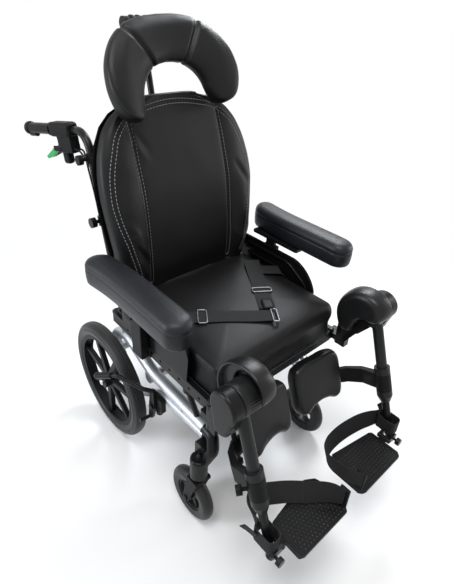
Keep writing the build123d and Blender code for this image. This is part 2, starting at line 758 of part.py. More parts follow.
recline_head = (recline_pivot[0] + recline_head_lead, recline_spring_z)
nodes["recline_cylinder"] = spring_body(recline_foot, recline_head, 130, recline_spring_x)
nodes["recline_rod"] = spring_rod(recline_foot, recline_head, 60, recline_spring_x)

# ---------------------------------------------------------------- back

lean_angle = degrees(atan2(back_lean, 1))


def on_cane(z, x=cane_x, behind=0.0):
    """A point on the back canes' line at one height."""
    return (x, recline_pivot[0] + back_lean * (z - recline_pivot[1]) + behind, z)


cane_start_z = recline_pivot[1] + 20
shell_bar_z = (632.0, 760.0)


def back_cane():
    start = on_cane(cane_start_z)
    cane = rod(start, on_cane(cane_top_z), cane_radius)
    cane += rod(on_cane(cane_top_z - 26), on_cane(cane_top_z), cane_radius + 4)
    eye_x = (cane_x - 7, cane_x + 7)
    neck = on_cane(cane_start_z + 12)
    cane += hull_plate([(*recline_pivot, recline_eye_radius), (neck[1], neck[2], 11)], eye_x)
    bore_from = on_cane(cane_start_z + 60)
    cane -= rod(bore_from, on_cane(cane_top_z + 5), push_tube_radius + running_gap)
    side_x = cane_x + cane_radius
    x, y, z = on_cane(cane_top_z - 13, side_x)
    cane += rod((side_x + 1, y, z), (side_x + 16, y, z), 5)
    cane += rod((side_x + 14, y, z), (side_x + 28, y, z), 14)
    return cane


recline_bore = recline_pin_radius + running_gap
cane_pin = rod((cane_x - 12, *recline_pivot), (cane_x + 12, *recline_pivot), recline_bore)
torque_tube = rod((-cane_x + 5, *recline_pivot), (cane_x - 5, *recline_pivot), 10) - both_sides(cane_pin)
back_frame = both_sides(back_cane() - cane_pin) + torque_tube
for side in (-1, 1):
    near = recline_spring_x + side * (spring_lug_half + seat_gap)
    lever_circles = [(*recline_pivot, 15), (*recline_head, 9)]
    back_frame += hull_plate(lever_circles, (near, near + side * 5))
back_frame += rod(
    (recline_spring_x - spring_lug_half - 3, *recline_head),
    (recline_spring_x + spring_lug_half + 3, *recline_head),
    spring_pin_radius,
)
for bar_z in shell_bar_z:
    back_frame += rod(on_cane(bar_z, -cane_x + 10), on_cane(bar_z, cane_x - 10), 9)
cane_bore = rod(on_cane(cane_start_z + 60), on_cane(cane_top_z + 5), push_tube_radius + running_gap)
back_frame -= both_sides(cane_bore)

# Heights of the back's cross sections: z, half width, y of the panel seam, depth behind it, how far
# the bolsters swell forward of the seam
back_rows = [
    (back_bottom_z, 214.0, 41.0, 50.0, 14.0),
    (645.0, 223.0, 42.0, 62.0, 22.0),
    (668.0, 236.0, 44.0, 66.0, 24.0),
    (720.0, 242.0, 48.0, 72.0, 24.0),
    (800.0, 250.0, 56.0, 76.0, 20.0),
    (866.0, 254.0, 67.0, 74.0, 17.0),
    (930.0, 248.0, 86.0, 66.0, 14.0),
    (989.0, 231.0, 105.0, 56.0, 10.0),
    (1030.0, 208.0, 119.0, 48.0, 7.0),
    (1058.0, 178.0, 129.0, 40.0, 4.0),
    (1077.0, 140.0, 136.0, 31.0, 2.0),
    (back_top_z, 88.0, 142.0, 20.0, 1.0),
]
panel_half = 145.0
panel_share = 0.78  # of the half width, where the back narrows at its top


def back_section(row):
    """One level cross section: flat centre panel, a bolster at each side and a flat rear."""
    z, half, seam_y, depth, swell = row
    seam_x = min(panel_half, half * panel_share)
    rear_y = seam_y + depth
    side_y = seam_y + depth * 0.35
    seam = (seam_x, seam_y)
    front_edge = (half - 6, seam_y - swell * 0.3 + 3)
    rear_edge = (half - 12, seam_y + depth * 0.72)
    right = [
        ThreePointArc((0, seam_y + 3), (seam_x / 2, seam_y + 2), seam),
        ThreePointArc(seam, ((seam_x + half) / 2, seam_y - swell * 0.55), front_edge),
        ThreePointArc(front_edge, (half, side_y), rear_edge),
        Line(rear_edge, (half - 38, rear_y)),
        Line((half - 38, rear_y), (0, rear_y)),
    ]
    left = [mirror(edge, about=Plane.YZ) for edge in right]
    return Pos(0, 0, z) * make_face([*right, *left])


back_cushion = loft([back_section(row) for row in back_rows], ruled=True)
nodes["back_cushion"] = back_cushion


def shell_section(row, grow):
    """One level cross section of the moulded shell that cups the cushion's rear."""
    z, half, seam_y, depth, swell = row
    rear_y = seam_y + depth + seat_gap
    outer = half + grow
    front_y = seam_y + depth * 0.62
    corner_y = seam_y + depth * 0.72
    right = [(half + seat_gap, front_y), (outer, front_y), (outer - 9, corner_y + 4)]
    right.append((outer - 38, rear_y + shell_thickness))
    inner = [(half - 38, rear_y), (half - 12 + seat_gap, corner_y + seat_gap * 2)]
    left = [(-x, y) for x, y in reversed(inner + right)]
    return Pos(0, 0, z) * make_face(Polyline(*inner, *right, *left, close=True))


def shell_rear(z):
    """The y of the shell's rear face at one height."""
    for low, high in zip(back_rows, back_rows[1:]):
        if low[0] <= z <= high[0]:
            share = (z - low[0]) / (high[0] - low[0])
            return (low[2] + low[3]) * (1 - share) + (high[2] + high[3]) * share + seat_gap + shell_thickness


shell = loft([shell_section(row, 5.0) for row in back_rows[:-1]], ruled=True)
for post_z in shell_bar_z:
    for side in (-1, 1):
        boss_start = (side * 150, shell_rear(post_z) - shell_thickness / 2, post_z)
        shell += rod(boss_start, (side * 150, on_cane(post_z)[1] - 9.2, post_z), 9)

# Guide sleeve for the push tube, on a stub from the shell, with its own knob
guide_z = (925.0, 951.0)
guide_middle = sum(guide_z) / 2
guide = rod(on_cane(guide_z[0]), on_cane(guide_z[1]), push_tube_radius + 5)
stub_start = (cane_x, shell_rear(guide_middle) - shell_thickness + 1, guide_middle)
guide += rod(stub_start, on_cane(guide_middle), 9)
knob_y = on_cane(guide_middle)[1]
guide += rod((cane_x + 12, knob_y, guide_middle), (cane_x + 30, knob_y, guide_middle), 5)
guide += rod((cane_x + 28, knob_y, guide_middle), (cane_x + 41, knob_y, guide_middle), 13)
guide -= rod(on_cane(guide_z[0] - 5), on_cane(guide_z[1] + 5), push_tube_radius + running_gap)
shell += both_sides(guide)
nodes["back_frame"] = back_frame

# ---------------------------------------------------------------- headrest

head_half_width = 205.0
head_front_sag = 42.0
head_rear_sag = 44.0
head_front_tilt = 7.0


def bend_radius(sag):
    """Radius of the arc that falls by a sag over half the headrest's width."""
    return (head_half_width**2 + sag**2) / (2 * sag)


def headrest_pad():
    """Thick crescent, its wings dropping past the back and curving forward."""
    outer_left = [
        ThreePointArc((0, 58), (98, 44), (164, -4)),
        ThreePointArc((164, -4), (197, -52), (203, -100)),
        ThreePointArc((203, -100), (192, -144), (166, -172)),
        ThreePointArc((166, -172), (145, -180), (128, -162)),
        ThreePointArc((128, -162), (110, -134), (102, -108)),
        ThreePointArc((102, -108), (80, -74), (0, -58)),
    ]
    left_side = [mirror(edge, about=Plane.YZ) for edge in outer_left]
    face = make_face([*outer_left, *left_side])
    blank = extrude(Plane.XZ * face, 120, both=True)
    front_bend = bend_radius(head_front_sag)
    rear_bend = bend_radius(head_rear_sag)
    front = Pos(0, -5, 0) * Rot(head_front_tilt, 0, 0) * Pos(0, -front_bend, 0) * Cylinder(front_bend, 700)
    rear = Pos(0, head_thickness - rear_bend, 0) * Cylinder(rear_bend, 700)
    return (blank & rear) - front


head_face = on_cane(head_centre_z)[1]
head_offset = 139.0
pad_place = Pos(head_shift, head_face - head_offset, head_centre_z) * Rot(-lean_angle, 0, 0)
nodes["headrest_pad"] = pad_place * headrest_pad()


hinge_y = head_thickness + 26


def headrest_post():
    """Leaning post through the back's clamp, with a fork at its top."""
    post = rod(on_cane(850, 0), on_cane(head_centre_z - 20, 0), head_post_radius)
    ear = [(hinge_y, head_hinge_z, 19), (hinge_y + 34, -18, 16)]
    for low in (-33, -15, 9, 27):
        post += pad_place * hull_plate(ear, (low, low + 6))
    post_y = head_offset * cos(radians(lean_angle))
    post += pad_place * block((-33, 15 - head_shift), (hinge_y + 24, post_y), (-34, 4))
    post += pad_place * rod((-34, hinge_y, head_hinge_z), (34, hinge_y, head_hinge_z), 4)
    knob = rod((-34, hinge_y, head_hinge_z), (-44, hinge_y, head_hinge_z), 5)
    knob += rod((-42, hinge_y, head_hinge_z), (-56, hinge_y, head_hinge_z), 16)
    return post + pad_place * knob


nodes["headrest_post"] = headrest_post()

plate_y = head_thickness + seat_gap
mount = block((-62, 62), (plate_y, plate_y + 5), (-34, 47), 12, Axis.Y)
for low, high in ((-26.5, -15.5), (-8.5, 8.5), (15.5, 26.5)):
    mount += block((low, high), (plate_y + 2, hinge_y + 2), (head_hinge_z - 12, head_hinge_z + 2))
    mount += rod((low, hinge_y, head_hinge_z), (high, hinge_y, head_hinge_z), 15)
mount -= rod((-40, hinge_y, head_hinge_z), (40, hinge_y, head_hinge_z), 4 + running_gap)
nodes["headrest_plate"] = pad_place * mount

# Clamp on the shell that holds the headrest post
clamp_z = 930.0
clamp_place = Pos(*on_cane(clamp_z, 0)) * Rot(-lean_angle, 0, 0)
clamp_front = shell_rear(clamp_z) - 5 - on_cane(clamp_z)[1]
clamp = clamp_place * block((-24, 24), (clamp_front, 17), (-30, 30), 4, Axis.Z)
clamp += clamp_place * rod((20, 0, 0), (38, 0, 0), 5)
clamp += clamp_place * rod((36, 0, 0), (50, 0, 0), 14)
shell += clamp
shell -= rod(on_cane(clamp_z - 45, 0), on_cane(clamp_z + 45, 0), head_post_radius + running_gap)
nodes["back_shell"] = shell

# ---------------------------------------------------------------- push handles

toe = radians(handle_toe)
dip = radians(handle_dip)
grip_way = Vector(sin(toe) * cos(dip), cos(toe) * cos(dip), -sin(dip))
grip_up = (Vector(0, 0, 1) - grip_way * grip_way.Z).normalized()
handle_origin = Vector(cane_x, *handle_start)
handle_plane = Plane(origin=handle_origin, x_dir=grip_way, z_dir=grip_up)
grip_end = housing_length + grip_length


def push_tube():
    """Tube that slides in the back cane and bends back into the hand grip."""
    low = on_cane(640)
    corner = on_cane(handle_corner_z)
    end = handle_origin + grip_way * (grip_end - 6)
    return bent_tube([low, corner, tuple(handle_origin), tuple(end)], [56, 55], push_tube_radius)


def hand_grip():
    """Rubber grip with an end flange and a finger lip."""
    start = housing_length
    grip = rod((start, 0, 0), (grip_end, 0, 0), grip_radius)
    grip += rod((start, 0, 0), (start + 5, 0, 0), grip_radius + 3.5)
    grip += fillet(rod((grip_end - 12, 0, 0), (grip_end, 0, 0), grip_radius + 3).edges(), 3)
    grip += Pos(grip_end - 20, 0, -grip_radius) * Rot(0, 90, 0) * Cylinder(8, 26)
    grip -= rod((start - 1, 0, 0), (grip_end - 6 + seat_gap, 0, 0), push_tube_radius + running_gap)
    return handle_plane * grip


pair("push_handle", push_tube() + hand_grip())
pivot_a, pivot_c = 76.0, -50.0


def lever_housing():
    """Clamp shell round the tube, with the lever body and cable lobe below it."""
    shell_body = block((3, housing_length - 1), (-20, 20), (-19, 21))
    shell_body = fillet(shell_body.edges(), 11)
    body = fillet(block((8, 62), (-16, 16), (-62, -12)).edges().filter_by(Axis.X), 7)
    shell_body += body
    lobe = fillet(block((34, 60), (-12, 12), (-94, -56)).edges(), 8)
    shell_body += lobe
    for low in (-18.5, -2.0, 14.5):
        shell_body += block((52, pivot_a + 7), (low, low + 4), (pivot_c - 8, pivot_c + 8), 5, Axis.Y)
    shell_body += rod((pivot_a, -20, pivot_c), (pivot_a, 20, pivot_c), 2.5)
    shell_body -= rod((-40, 0, 0), (housing_length + 5, 0, 0), push_tube_radius + 0.3)
    return handle_plane * shell_body


pair("lever_housing", lever_housing() - push_tube())


def finger_lever(low, high):
    """One finger lever between two ears, its blade running back below the grip."""
    blade = [(pivot_a - 3, pivot_c - 5), (pivot_a + 20, pivot_c - 22), (pivot_a + 46, pivot_c - 32)]
    blade += [(pivot_a + 50, pivot_c - 25), (pivot_a + 26, pivot_c - 10), (pivot_a + 4, pivot_c + 5)]
    face = make_face(Polyline(*blade, close=True))
    lever = Pos(0, low, 0) * extrude(Plane.XZ * face, low - high)
    lever += rod((pivot_a, low, pivot_c), (pivot_a, high, pivot_c), 6)
    lever -= rod((pivot_a, low - 5, pivot_c), (pivot_a, high + 5, pivot_c), 2.5 + running_gap)
    return handle_plane * lever


outer_lever = finger_lever(-14.2, -2.3)
inner_lever = finger_lever(2.3, 14.2)
nodes["tilt_lever_right"] = mirrored(outer_lever)
nodes["recline_lever_right"] = mirrored(inner_lever)
nodes["tilt_lever_left"] = outer_lever

cable_radius = 2.6


def handle_cable(lateral, behind):
    """One control cable from the lever body down the rear of the cane."""
    start = handle_plane.from_local_coords((7.4, lateral, -50))
    out = handle_plane.from_local_coords((-16, lateral * 1.2, -54))
    lane = cane_x + lateral * 0.8
    points = [tuple(start), tuple(out)]
    points += [on_cane(905, lane, behind + 8), on_cane(840, lane, behind)]
    points += [on_cane(740, lane, behind), on_cane(600, lane, behind)]
    turns = []
    for index in range(1, len(points) - 1):
        before = Vector(*points[index]) - Vector(*points[index - 1])
        after = Vector(*points[index + 1]) - Vector(*points[index])
        turn = radians(before.get_angle(after))
        turns.append(0.45 * min(before.length, after.length) / tan(turn / 2) if turn > 0.001 else 0)
    print("cable radii", [round(value) for value in turns])
    keep = [index for index, value in enumerate(turns) if value > 0]
    kept = [points[0]] + [points[index + 1] for index in keep] + [points[-1]]
    return bent_tube(kept, [turns[index] for index in keep], cable_radius)


nodes["control_cables"] = mirrored(handle_cable(-7, 21) + handle_cable(4, 22))

# ---------------------------------------------------------------- leg rests

lean = radians(leg_lean)
leg_up = Vector(0, sin(lean), cos(lean))
leg_plane = Plane(origin=(0, drum_y, drum_z), x_dir=(1, 0, 0), z_dir=leg_up)
drum_x = (222.0, 271.7)
inner_plate_x = (212.0, 218.0)
outer_plate_x = (273.0, 279.0)
housing_x = (274.0, 304.0)
collar_span = (178.0, 268.0)
collar_radius = 18.0
ring_radius = 22.0
ring_length = 18.0  # each end ring of the collar, above and below the calf pad's carrier
pad_swing_span = (collar_span[0] + ring_length, collar_span[1] - ring_length)


def leg_point(s, x=leg_x, behind=0.0):
    """A point on the leg tube's line, a distance s below the drum's axis."""
    return tuple(leg_plane.from_local_coords((x, behind, -s)))


def leg_hanger():
    """Swing-away bracket: sleeve, web, a plate each side of the drum and the outer housing."""
    hanger = rod((swing_x, swing_y, 482), (swing_x, swing_y, 519), 12)
    hanger += rod((swing_x, swing_y, 440), (swing_x, swing_y, 462), 12)
    web_x = (swing_x - 11, swing_x + 11)
    web_y = (swing_y - 27, swing_y - 18)
    hanger += block(web_x, (swing_y - 25, swing_y - 4), (483, 519))
    hanger += block(web_x, (swing_y - 25, swing_y - 4), (440, 461))
    hanger += block(web_x, web_y, (440, 519))
    hanger += block((inner_plate_x[0], outer_plate_x[1]), web_y, (483, 519))
    hanger += hull_plate([(swing_y - 28, 500, 18), (drum_y, drum_z, 24)], inner_plate_x)
    hanger += hull_plate([(swing_y - 32, 503, 20), (drum_y, drum_z, 38)], outer_plate_x)
    casing = hull_plate([(drum_y, drum_z, drum_radius), (drum_y + 2, drum_z - 56, 24)], housing_x)
    casing = fillet(casing.edges().group_by(Axis.X)[-1], 7)
    hanger += casing
    hanger += rod((inner_plate_x[0], drum_y, drum_z), (housing_x[0] + 4, drum_y, drum_z), 8)
    slot = [(drum_y + 39, drum_z - 72, 4), (drum_y + 28, drum_z - 46, 4)]
    hanger -= hull_plate(slot, (inner_plate_x[0] - 2, inner_plate_x[1] + 2))
    hanger -= rod((swing_x, swing_y, 430), (swing_x, swing_y, 530), swing_pin_radius + running_gap)
    return hanger


pair("leg_hanger", leg_hanger())


def leg_tube():
    """Elevating drum with the upper leg tube and its clamp collar."""
    drum = rod((drum_x[0], drum_y, drum_z), (drum_x[1], drum_y, drum_z), drum_radius)
    drum = fillet(drum.edges(), 3)
    for index in range(11):
        angle = radians(60 + index * 11)
        groove_y = drum_y - (drum_radius + 0.6) * sin(angle)
        groove_z = drum_z + (drum_radius + 0.6) * cos(angle)
        drum -= rod((drum_x[0] + 8, groove_y, groove_z), (drum_x[1] - 14, groove_y, groove_z), 1.8)
    leg = drum + rod(leg_point(30), leg_point(collar_span[0] + 12), leg_tube_radius)
    leg += rod(leg_point(collar_span[0]), leg_point(collar_span[1]), collar_radius)
    leg += rod(leg_point(collar_span[0]), leg_point(pad_swing_span[0] - seat_gap), ring_radius)
    leg += rod(leg_point(pad_swing_span[1] + seat_gap), leg_point(collar_span[1]), ring_radius)
    leg += cone(leg_point(collar_span[1]), leg_point(collar_span[1] + 20), ring_radius, inner_tube_radius + 3)
    leg -= rod(leg_point(44), leg_point(collar_span[1] + 30), inner_tube_radius + running_gap)
    leg -= rod((drum_x[0] - 5, drum_y, drum_z), (drum_x[1] + 5, drum_y, drum_z), 8 + running_gap)
    return leg


pair("leg_tube", leg_tube())


def knee_pad():
    """Comma-shaped pad that hoods the drum from the inner side."""
    low = 188.0
    high = 240.0
    around = [(-46, 0), (-55, 28), (-40, 55), (-6, 69), (32, 65), (66, 43), (86, 10), (90, -27)]
    around += [(80, -60), (62, -80), (40, -78), (28, -56), (18, -28), (-3, -10), (-26, -8)]
    outline = Spline(*[(drum_y + y, drum_z + z) for y, z in around], periodic=True)
    pad = Pos(low, 0, 0) * extrude(Plane.YZ * make_face(outline), high - low)
    pad = fillet(pad.edges().group_by(Axis.X)[0], 11)
    recess_x = (inner_plate_x[0] - seat_gap, high + 5)
    pad -= rod((recess_x[0], drum_y, drum_z), (recess_x[1], drum_y, drum_z), drum_radius + knee_gap)
    pad -= hull_plate([(swing_y - 28, 500, 19.5), (drum_y, drum_z, 26)], recess_x)
    pad -= block(recess_x, (swing_y - 36, swing_y + 34), (430, 530))
    pad -= rod(leg_point(20), leg_point(120), leg_tube_radius + 3)
    return pad.solids().sort_by(SortBy.VOLUME)[-1]


pair("knee_pad", knee_pad())

foot_hinge_y = drum_y - (drum_z - foot_hinge[1]) * tan(lean)
foot_front_y = foot_hinge_y - foot_ahead
foot_rear_y = foot_hinge_y + foot_behind
strap_post_y = (foot_front_y + strap_post_inset, foot_front_y + strap_post_inset + strap_post_length)


def lower_tube():
    """Sliding inner tube with the footplate's hinge lugs and a round end."""
    tube = rod(leg_point(116), leg_point(414), inner_tube_radius)
    tube += Pos(*leg_point(416)) * Sphere(13)
    for low in (foot_hinge_y - 19, foot_hinge_y + 11):
        tube += Pos(0, low, 0) * lug_plate([(*foot_hinge, 8), (leg_x, foot_hinge[1] - 2, 12)], 8)
    pin_x, pin_z = foot_hinge
    tube += rod((pin_x, foot_hinge_y - 21, pin_z), (pin_x, foot_hinge_y + 21, pin_z), 4)
    knob = Vector(*leg_point(408))
    tube += rod(tuple(knob), tuple(knob + Vector(0, -26, 0)), 4)
    tube += rod(tuple(knob + Vector(0, -24, 0)), tuple(knob + Vector(0, -36, 0)), 11)
    return tube


pair("lower_tube", lower_tube())


def calf_support():
    """Pad carrier that swings about the leg tube, with its upholstered pad."""
    ring_low, ring_high = -pad_swing_span[1], -pad_swing_span[0]
    ring = Pos(leg_x, 0, (ring_low + ring_high) / 2) * Cylinder(ring_radius, ring_high - ring_low)
    arm_points = [(266, 12), (262, 74), (238, 116), (206, 142), (126, 152)]
    arm_points += [(126, 140), (202, 130), (228, 106), (246, 66), (242, 12)]
    arm_face = make_face(Polyline(*arm_points, close=True))
    arm = Pos(0, 0, ring_low + 4) * extrude(arm_face, ring_high - ring_low - 8)
    carrier = ring + arm
    boss = Vector(leg_x, 0, (ring_low + ring_high) / 2)
    knob_way = Vector(0.8, 0.6, 0)
    carrier += rod(tuple(boss), tuple(boss + knob_way * 36), 4.5)
    carrier += rod(tuple(boss + knob_way * 34), tuple(boss + knob_way * 48), 12)
    carrier += Pos(196, 138, 0) * rod((0, 0, ring_low - 12), (0, 0, ring_high + 34), 7)
    carrier += Pos(196, 138, 0) * rod((0, 0, ring_high + 30), (0, 0, ring_high + 40), 11)
    carrier += Pos(196, 138, 0) * rod((0, 0, ring_low - 20), (0, 0, ring_low - 10), 11)
    carrier -= Pos(leg_x, 0, -200) * Cylinder(collar_radius + running_gap, 200)
    outline = [
        Line((15 + 24, -88), (185 - 24, -88)),
        ThreePointArc((161, -88), (178, -95), (185, -112)),
        Line((185, -112), (185, -244)),
        ThreePointArc((185, -244), (180, -257), (166, -262)),
        ThreePointArc((166, -262), (100, -238), (34, -262)),
        ThreePointArc((34, -262), (20, -257), (15, -244)),
        Line((15, -244), (15, -112)),
        ThreePointArc((15, -112), (22, -95), (39, -88)),
    ]
    face = make_face(outline)
    pad = extrude(Plane.XZ * face, 38, dir=(0, 1, 0))
    pad = fillet(pad.edges().group_by(Axis.Y)[0], 12)
    turn = Pos(185, 88, 0) * Rot(0, 0, -6)
    pad = turn * Pos(-185, 0, 0) * pad
    plate = turn * block((-75, -8), (38 + seat_gap, 44), (ring_low - 8, ring_high + 22))
    carrier += plate - (Pos(leg_x, 0, -200) * Cylinder(collar_radius + 8, 300))
    return leg_plane * carrier, leg_plane * pad


calf_arm, calf_pad = calf_support()
pair("calf_support", calf_arm + calf_pad)


def footplate():
    """Tread plate with a bevelled front, rounded corners, a hinge knuckle and the strap's post."""
    inner, outer = foot_plate_x
    front, rear = foot_front_y, foot_rear_y
    corners = [(inner, front + 14), (inner + 12, front), (outer - 10, front), (outer, front + 10)]
    corners += [(outer, rear - 30), (outer - 8, rear - 24)]
    corners += [(inner + 30, rear), (inner + 4, rear - 16), (inner, rear - 27)]
    bottom = foot_top_z - foot_thickness
    plate = Pos(0, 0, bottom) * extrude(make_face(Polyline(*corners, close=True)), foot_thickness)
    bevel = plate.edges().filter_by(Axis.X).group_by(Axis.Y)[0].sort_by(Axis.Z)
    plate = chamfer(bevel[0], 8, 6)
    knuckle_y = (foot_hinge_y - 10.7, foot_hinge_y + 10.7)
    plate += block((outer - 4, foot_hinge[0]), knuckle_y, (foot_hinge[1] - 6, foot_hinge[1] + 2))
    pin_x, pin_z = foot_hinge
    plate += rod((pin_x, knuckle_y[0], pin_z), (pin_x, knuckle_y[1], pin_z), 7.5)
    plate -= rod((pin_x, knuckle_y[0] - 20, pin_z), (pin_x, knuckle_y[1] + 20, pin_z), 4 + running_gap)
    post_z = (foot_top_z - 4, strap_low_z + strap_height + 4)
    plate += block((inner + 1, inner + 9), strap_post_y, post_z, 3, Axis.Z)
    return plate


pair("footplate", footplate())


def heel_strap():
    """Webbing band looped round the leg tube and led behind the heel to the post on the footplate."""
    post_x = foot_plate_x[0] + 9 + strap_thickness / 2 + 0.5
    points = [(leg_x + 1, 42.5), (leg_x - 29, 50), (leg_x - 61, 68), (leg_x - 128, 61)]
    points += [(post_x + 36, 43), (post_x + 8, -5), (post_x, -49)]
    points = [(x, foot_hinge_y + y) for x, y in points]
    path = FilletPolyline(*points, radius=[20, 40, 90, 40, 40])
    loop = Pos(leg_x, foot_hinge_y + 44 - strap_loop_length / 2)
    outer = RectangleRounded(strap_loop_width, strap_loop_length, strap_loop_corner)
    inner_width = strap_loop_width - 2 * strap_thickness
    inner_length = strap_loop_length - 2 * strap_thickness
    ring = outer - RectangleRounded(inner_width, inner_length, strap_loop_corner - strap_thickness)
    strip = trace(path, strap_thickness) + loop * ring
    return Pos(0, 0, strap_low_z) * extrude(strip, strap_height)


pair("heel_strap", heel_strap())

# ---------------------------------------------------------------- output

front = nodes["footplate_left"].bounding_box().min.Y
rear = nodes["push_handle_left"].bounding_box().max.Y
shift_y = -(front + rear) / 2

for name, solid in nodes.items():
    export_step(Pos(0, shift_y, 0) * solid, "parts/" + name + ".step")
print(len(nodes), "nodes, moved along Y by", round(shift_y, 3))
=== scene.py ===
import math
import bmesh
import bpy
import numpy as np
from mathutils import Euler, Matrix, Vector
from mathutils.bvhtree import BVHTree


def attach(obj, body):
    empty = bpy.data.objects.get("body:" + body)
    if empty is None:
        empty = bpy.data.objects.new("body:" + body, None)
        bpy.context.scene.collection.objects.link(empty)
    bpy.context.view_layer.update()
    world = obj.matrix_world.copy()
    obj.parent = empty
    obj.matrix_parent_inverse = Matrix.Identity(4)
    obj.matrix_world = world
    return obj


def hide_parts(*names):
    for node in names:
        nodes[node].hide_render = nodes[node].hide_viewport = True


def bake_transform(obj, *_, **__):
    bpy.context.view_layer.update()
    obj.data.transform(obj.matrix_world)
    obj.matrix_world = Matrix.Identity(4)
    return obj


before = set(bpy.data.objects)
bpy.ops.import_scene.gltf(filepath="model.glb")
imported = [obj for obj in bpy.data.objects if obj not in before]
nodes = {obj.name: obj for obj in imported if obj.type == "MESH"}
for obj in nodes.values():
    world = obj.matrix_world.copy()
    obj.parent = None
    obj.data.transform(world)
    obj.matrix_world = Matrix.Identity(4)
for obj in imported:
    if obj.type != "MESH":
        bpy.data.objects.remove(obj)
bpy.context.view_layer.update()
moveY = 87.271  # the part's own move along Y, in mm: every place below is given before it
print("frame loaded:", len(nodes), "nodes")


# ---- numbers and grids

def place(points):  # millimetres before the move, to metres in the frame
    out = np.array(points, float)
    out[..., 1] += moveY
    return out / 1000


def smoothRow(keys, values, at):  # cubic through (key, value) pairs, slopes from the neighbours
    keys = np.asarray(keys, float)
    values = np.asarray(values, float)
    slopes = np.gradient(values, keys, axis=0)
    cell = np.clip(np.searchsorted(keys, at) - 1, 0, len(keys) - 2)
    width = keys[cell + 1] - keys[cell]
    t = (at - keys[cell]) / width
    if values.ndim > 1:
        t = t[:, None]
        width = width[:, None]
    start = (1 + 2 * t) * (1 - t) ** 2 * values[cell] + t * (1 - t) ** 2 * width * slopes[cell]
    return start + t**2 * (3 - 2 * t) * values[cell + 1] + t**2 * (t - 1) * width * slopes[cell + 1]


def ease(t):  # 0 to 1 with flat ends
    t = np.clip(t, 0, 1)
    return t * t * (3 - 2 * t)


def bump(distance, width):  # a bell of height 1
    return np.exp(-((distance / width) ** 2))


def walkedAlong(line):  # distance walked along a line, at each of its points
    steps = np.linalg.norm(np.diff(line, axis=0), axis=1)
    return np.concatenate([[0], np.cumsum(steps)])


def unit(rows):  # each row at length 1
    return rows / np.linalg.norm(rows, axis=-1)[..., None]


def splineThrough(points, count, closed=False):  # even points on a smooth curve through the given ones
    points = np.asarray(points, float)
    if closed:
        points = np.vstack([points, points[:1]])
    keys = walkedAlong(points)
    reach = keys[-1]
    if closed:
        keys = np.concatenate([keys[-3:-1] - reach, keys, keys[1:3] + reach])
        points = np.vstack([points[-3:-1], points, points[1:3]])
    dense = smoothRow(keys, points, np.linspace(0, reach, 1200))
    walked = walkedAlong(dense)
    at = np.linspace(0, walked[-1], count, endpoint=not closed)
    return np.stack([np.interp(at, walked, dense[:, k]) for k in range(points.shape[1])], 1)


def roundedBox(halfX, halfY, corner, count):  # even points round a rectangle with arc corners
    arc = np.linspace(0, math.pi / 2, 24)
    parts = []
    for turn, (sx, sy) in enumerate([(1, 1), (-1, 1), (-1, -1), (1, -1)]):
        angle = arc + turn * math.pi / 2
        centre = np.array([sx * (halfX - corner), sy * (halfY - corner)])
        parts.append(centre + corner * np.stack([np.cos(angle), np.sin(angle)], 1))
    ring = np.vstack(parts)
    ring = np.vstack([ring, ring[:1]])
    walked = walkedAlong(ring)
    at = np.linspace(0, walked[-1], count, endpoint=False)
    return np.stack([np.interp(at, walked, ring[:, k]) for k in range(2)], 1)


def outward(ring):  # outward ways of a closed ring that runs anticlockwise
    along = np.roll(ring, -1, axis=0) - np.roll(ring, 1, axis=0)
    along /= np.linalg.norm(along, axis=1)[:, None] + 1e-12
    return np.stack([along[:, 1], -along[:, 0]], 1)


def leanWays(angle):  # the three ways of a frame that leans back about X
    cosine, sine = math.cos(angle), math.sin(angle)
    return np.array([[1, 0, 0], [0, cosine, -sine], [0, sine, cosine]])


def turnedFlat(flat, degrees):  # points turned in their own plane: x cos - y sin, x sin + y cos
    cosine, sine = math.cos(math.radians(degrees)), math.sin(math.radians(degrees))
    x, y = flat[..., 0], flat[..., 1]
    return np.stack([x * cosine - y * sine, x * sine + y * cosine], -1)


# ---- meshes

def added(name, data):  # a new object in the scene
    made = bpy.data.objects.new(name, data)
    bpy.context.scene.collection.objects.link(made)
    return made


def meshPoints(mesh):  # the points of a mesh as one array, in metres
    spots = np.empty(len(mesh.vertices) * 3)
    mesh.vertices.foreach_get("co", spots)
    return spots.reshape(-1, 3)


def movePoints(piece, spots):  # puts a piece's points at these places
    piece.data.vertices.foreach_set("co", spots.ravel())
    piece.data.update()


def finishMesh(name, vertices, faces, sharp, strap):  # merged, facing outwards, shaded smooth
    mesh = bpy.data.meshes.new(name)
    mesh.from_pydata(vertices.tolist(), [], faces)
    if strap is not None:  # webbing's own coordinates: metres along it and across it
        layer = mesh.attributes.new("strap", "FLOAT_VECTOR", "POINT")
        layer.data.foreach_set("vector", strap.ravel())
    work = bmesh.new()
    work.from_mesh(mesh)
    bmesh.ops.remove_doubles(work, verts=work.verts, dist=2e-6)
    bmesh.ops.dissolve_degenerate(work, edges=work.edges, dist=1e-7)
    bmesh.ops.recalc_face_normals(work, faces=work.faces)
    work.to_mesh(mesh)
    work.free()
    mesh.polygons.foreach_set("use_smooth", [True] * len(mesh.polygons))
    if sharp is not None:
        mesh.set_sharp_from_angle(angle=math.radians(sharp))
    return added(name, mesh)


def gridFaces(rows, columns, wrapColumns=True, wrapRows=False):  # quads of a grid of points
    r = np.arange(rows if wrapRows else rows - 1)
    c = np.arange(columns if wrapColumns else columns - 1)
    r, c = np.meshgrid(r, c, indexing="ij")
    rNext, cNext = (r + 1) % rows, (c + 1) % columns
    quads = np.stack([r * columns + c, r * columns + cNext, rNext * columns + cNext, rNext * columns + c], -1)
    return quads.reshape(-1, 4)


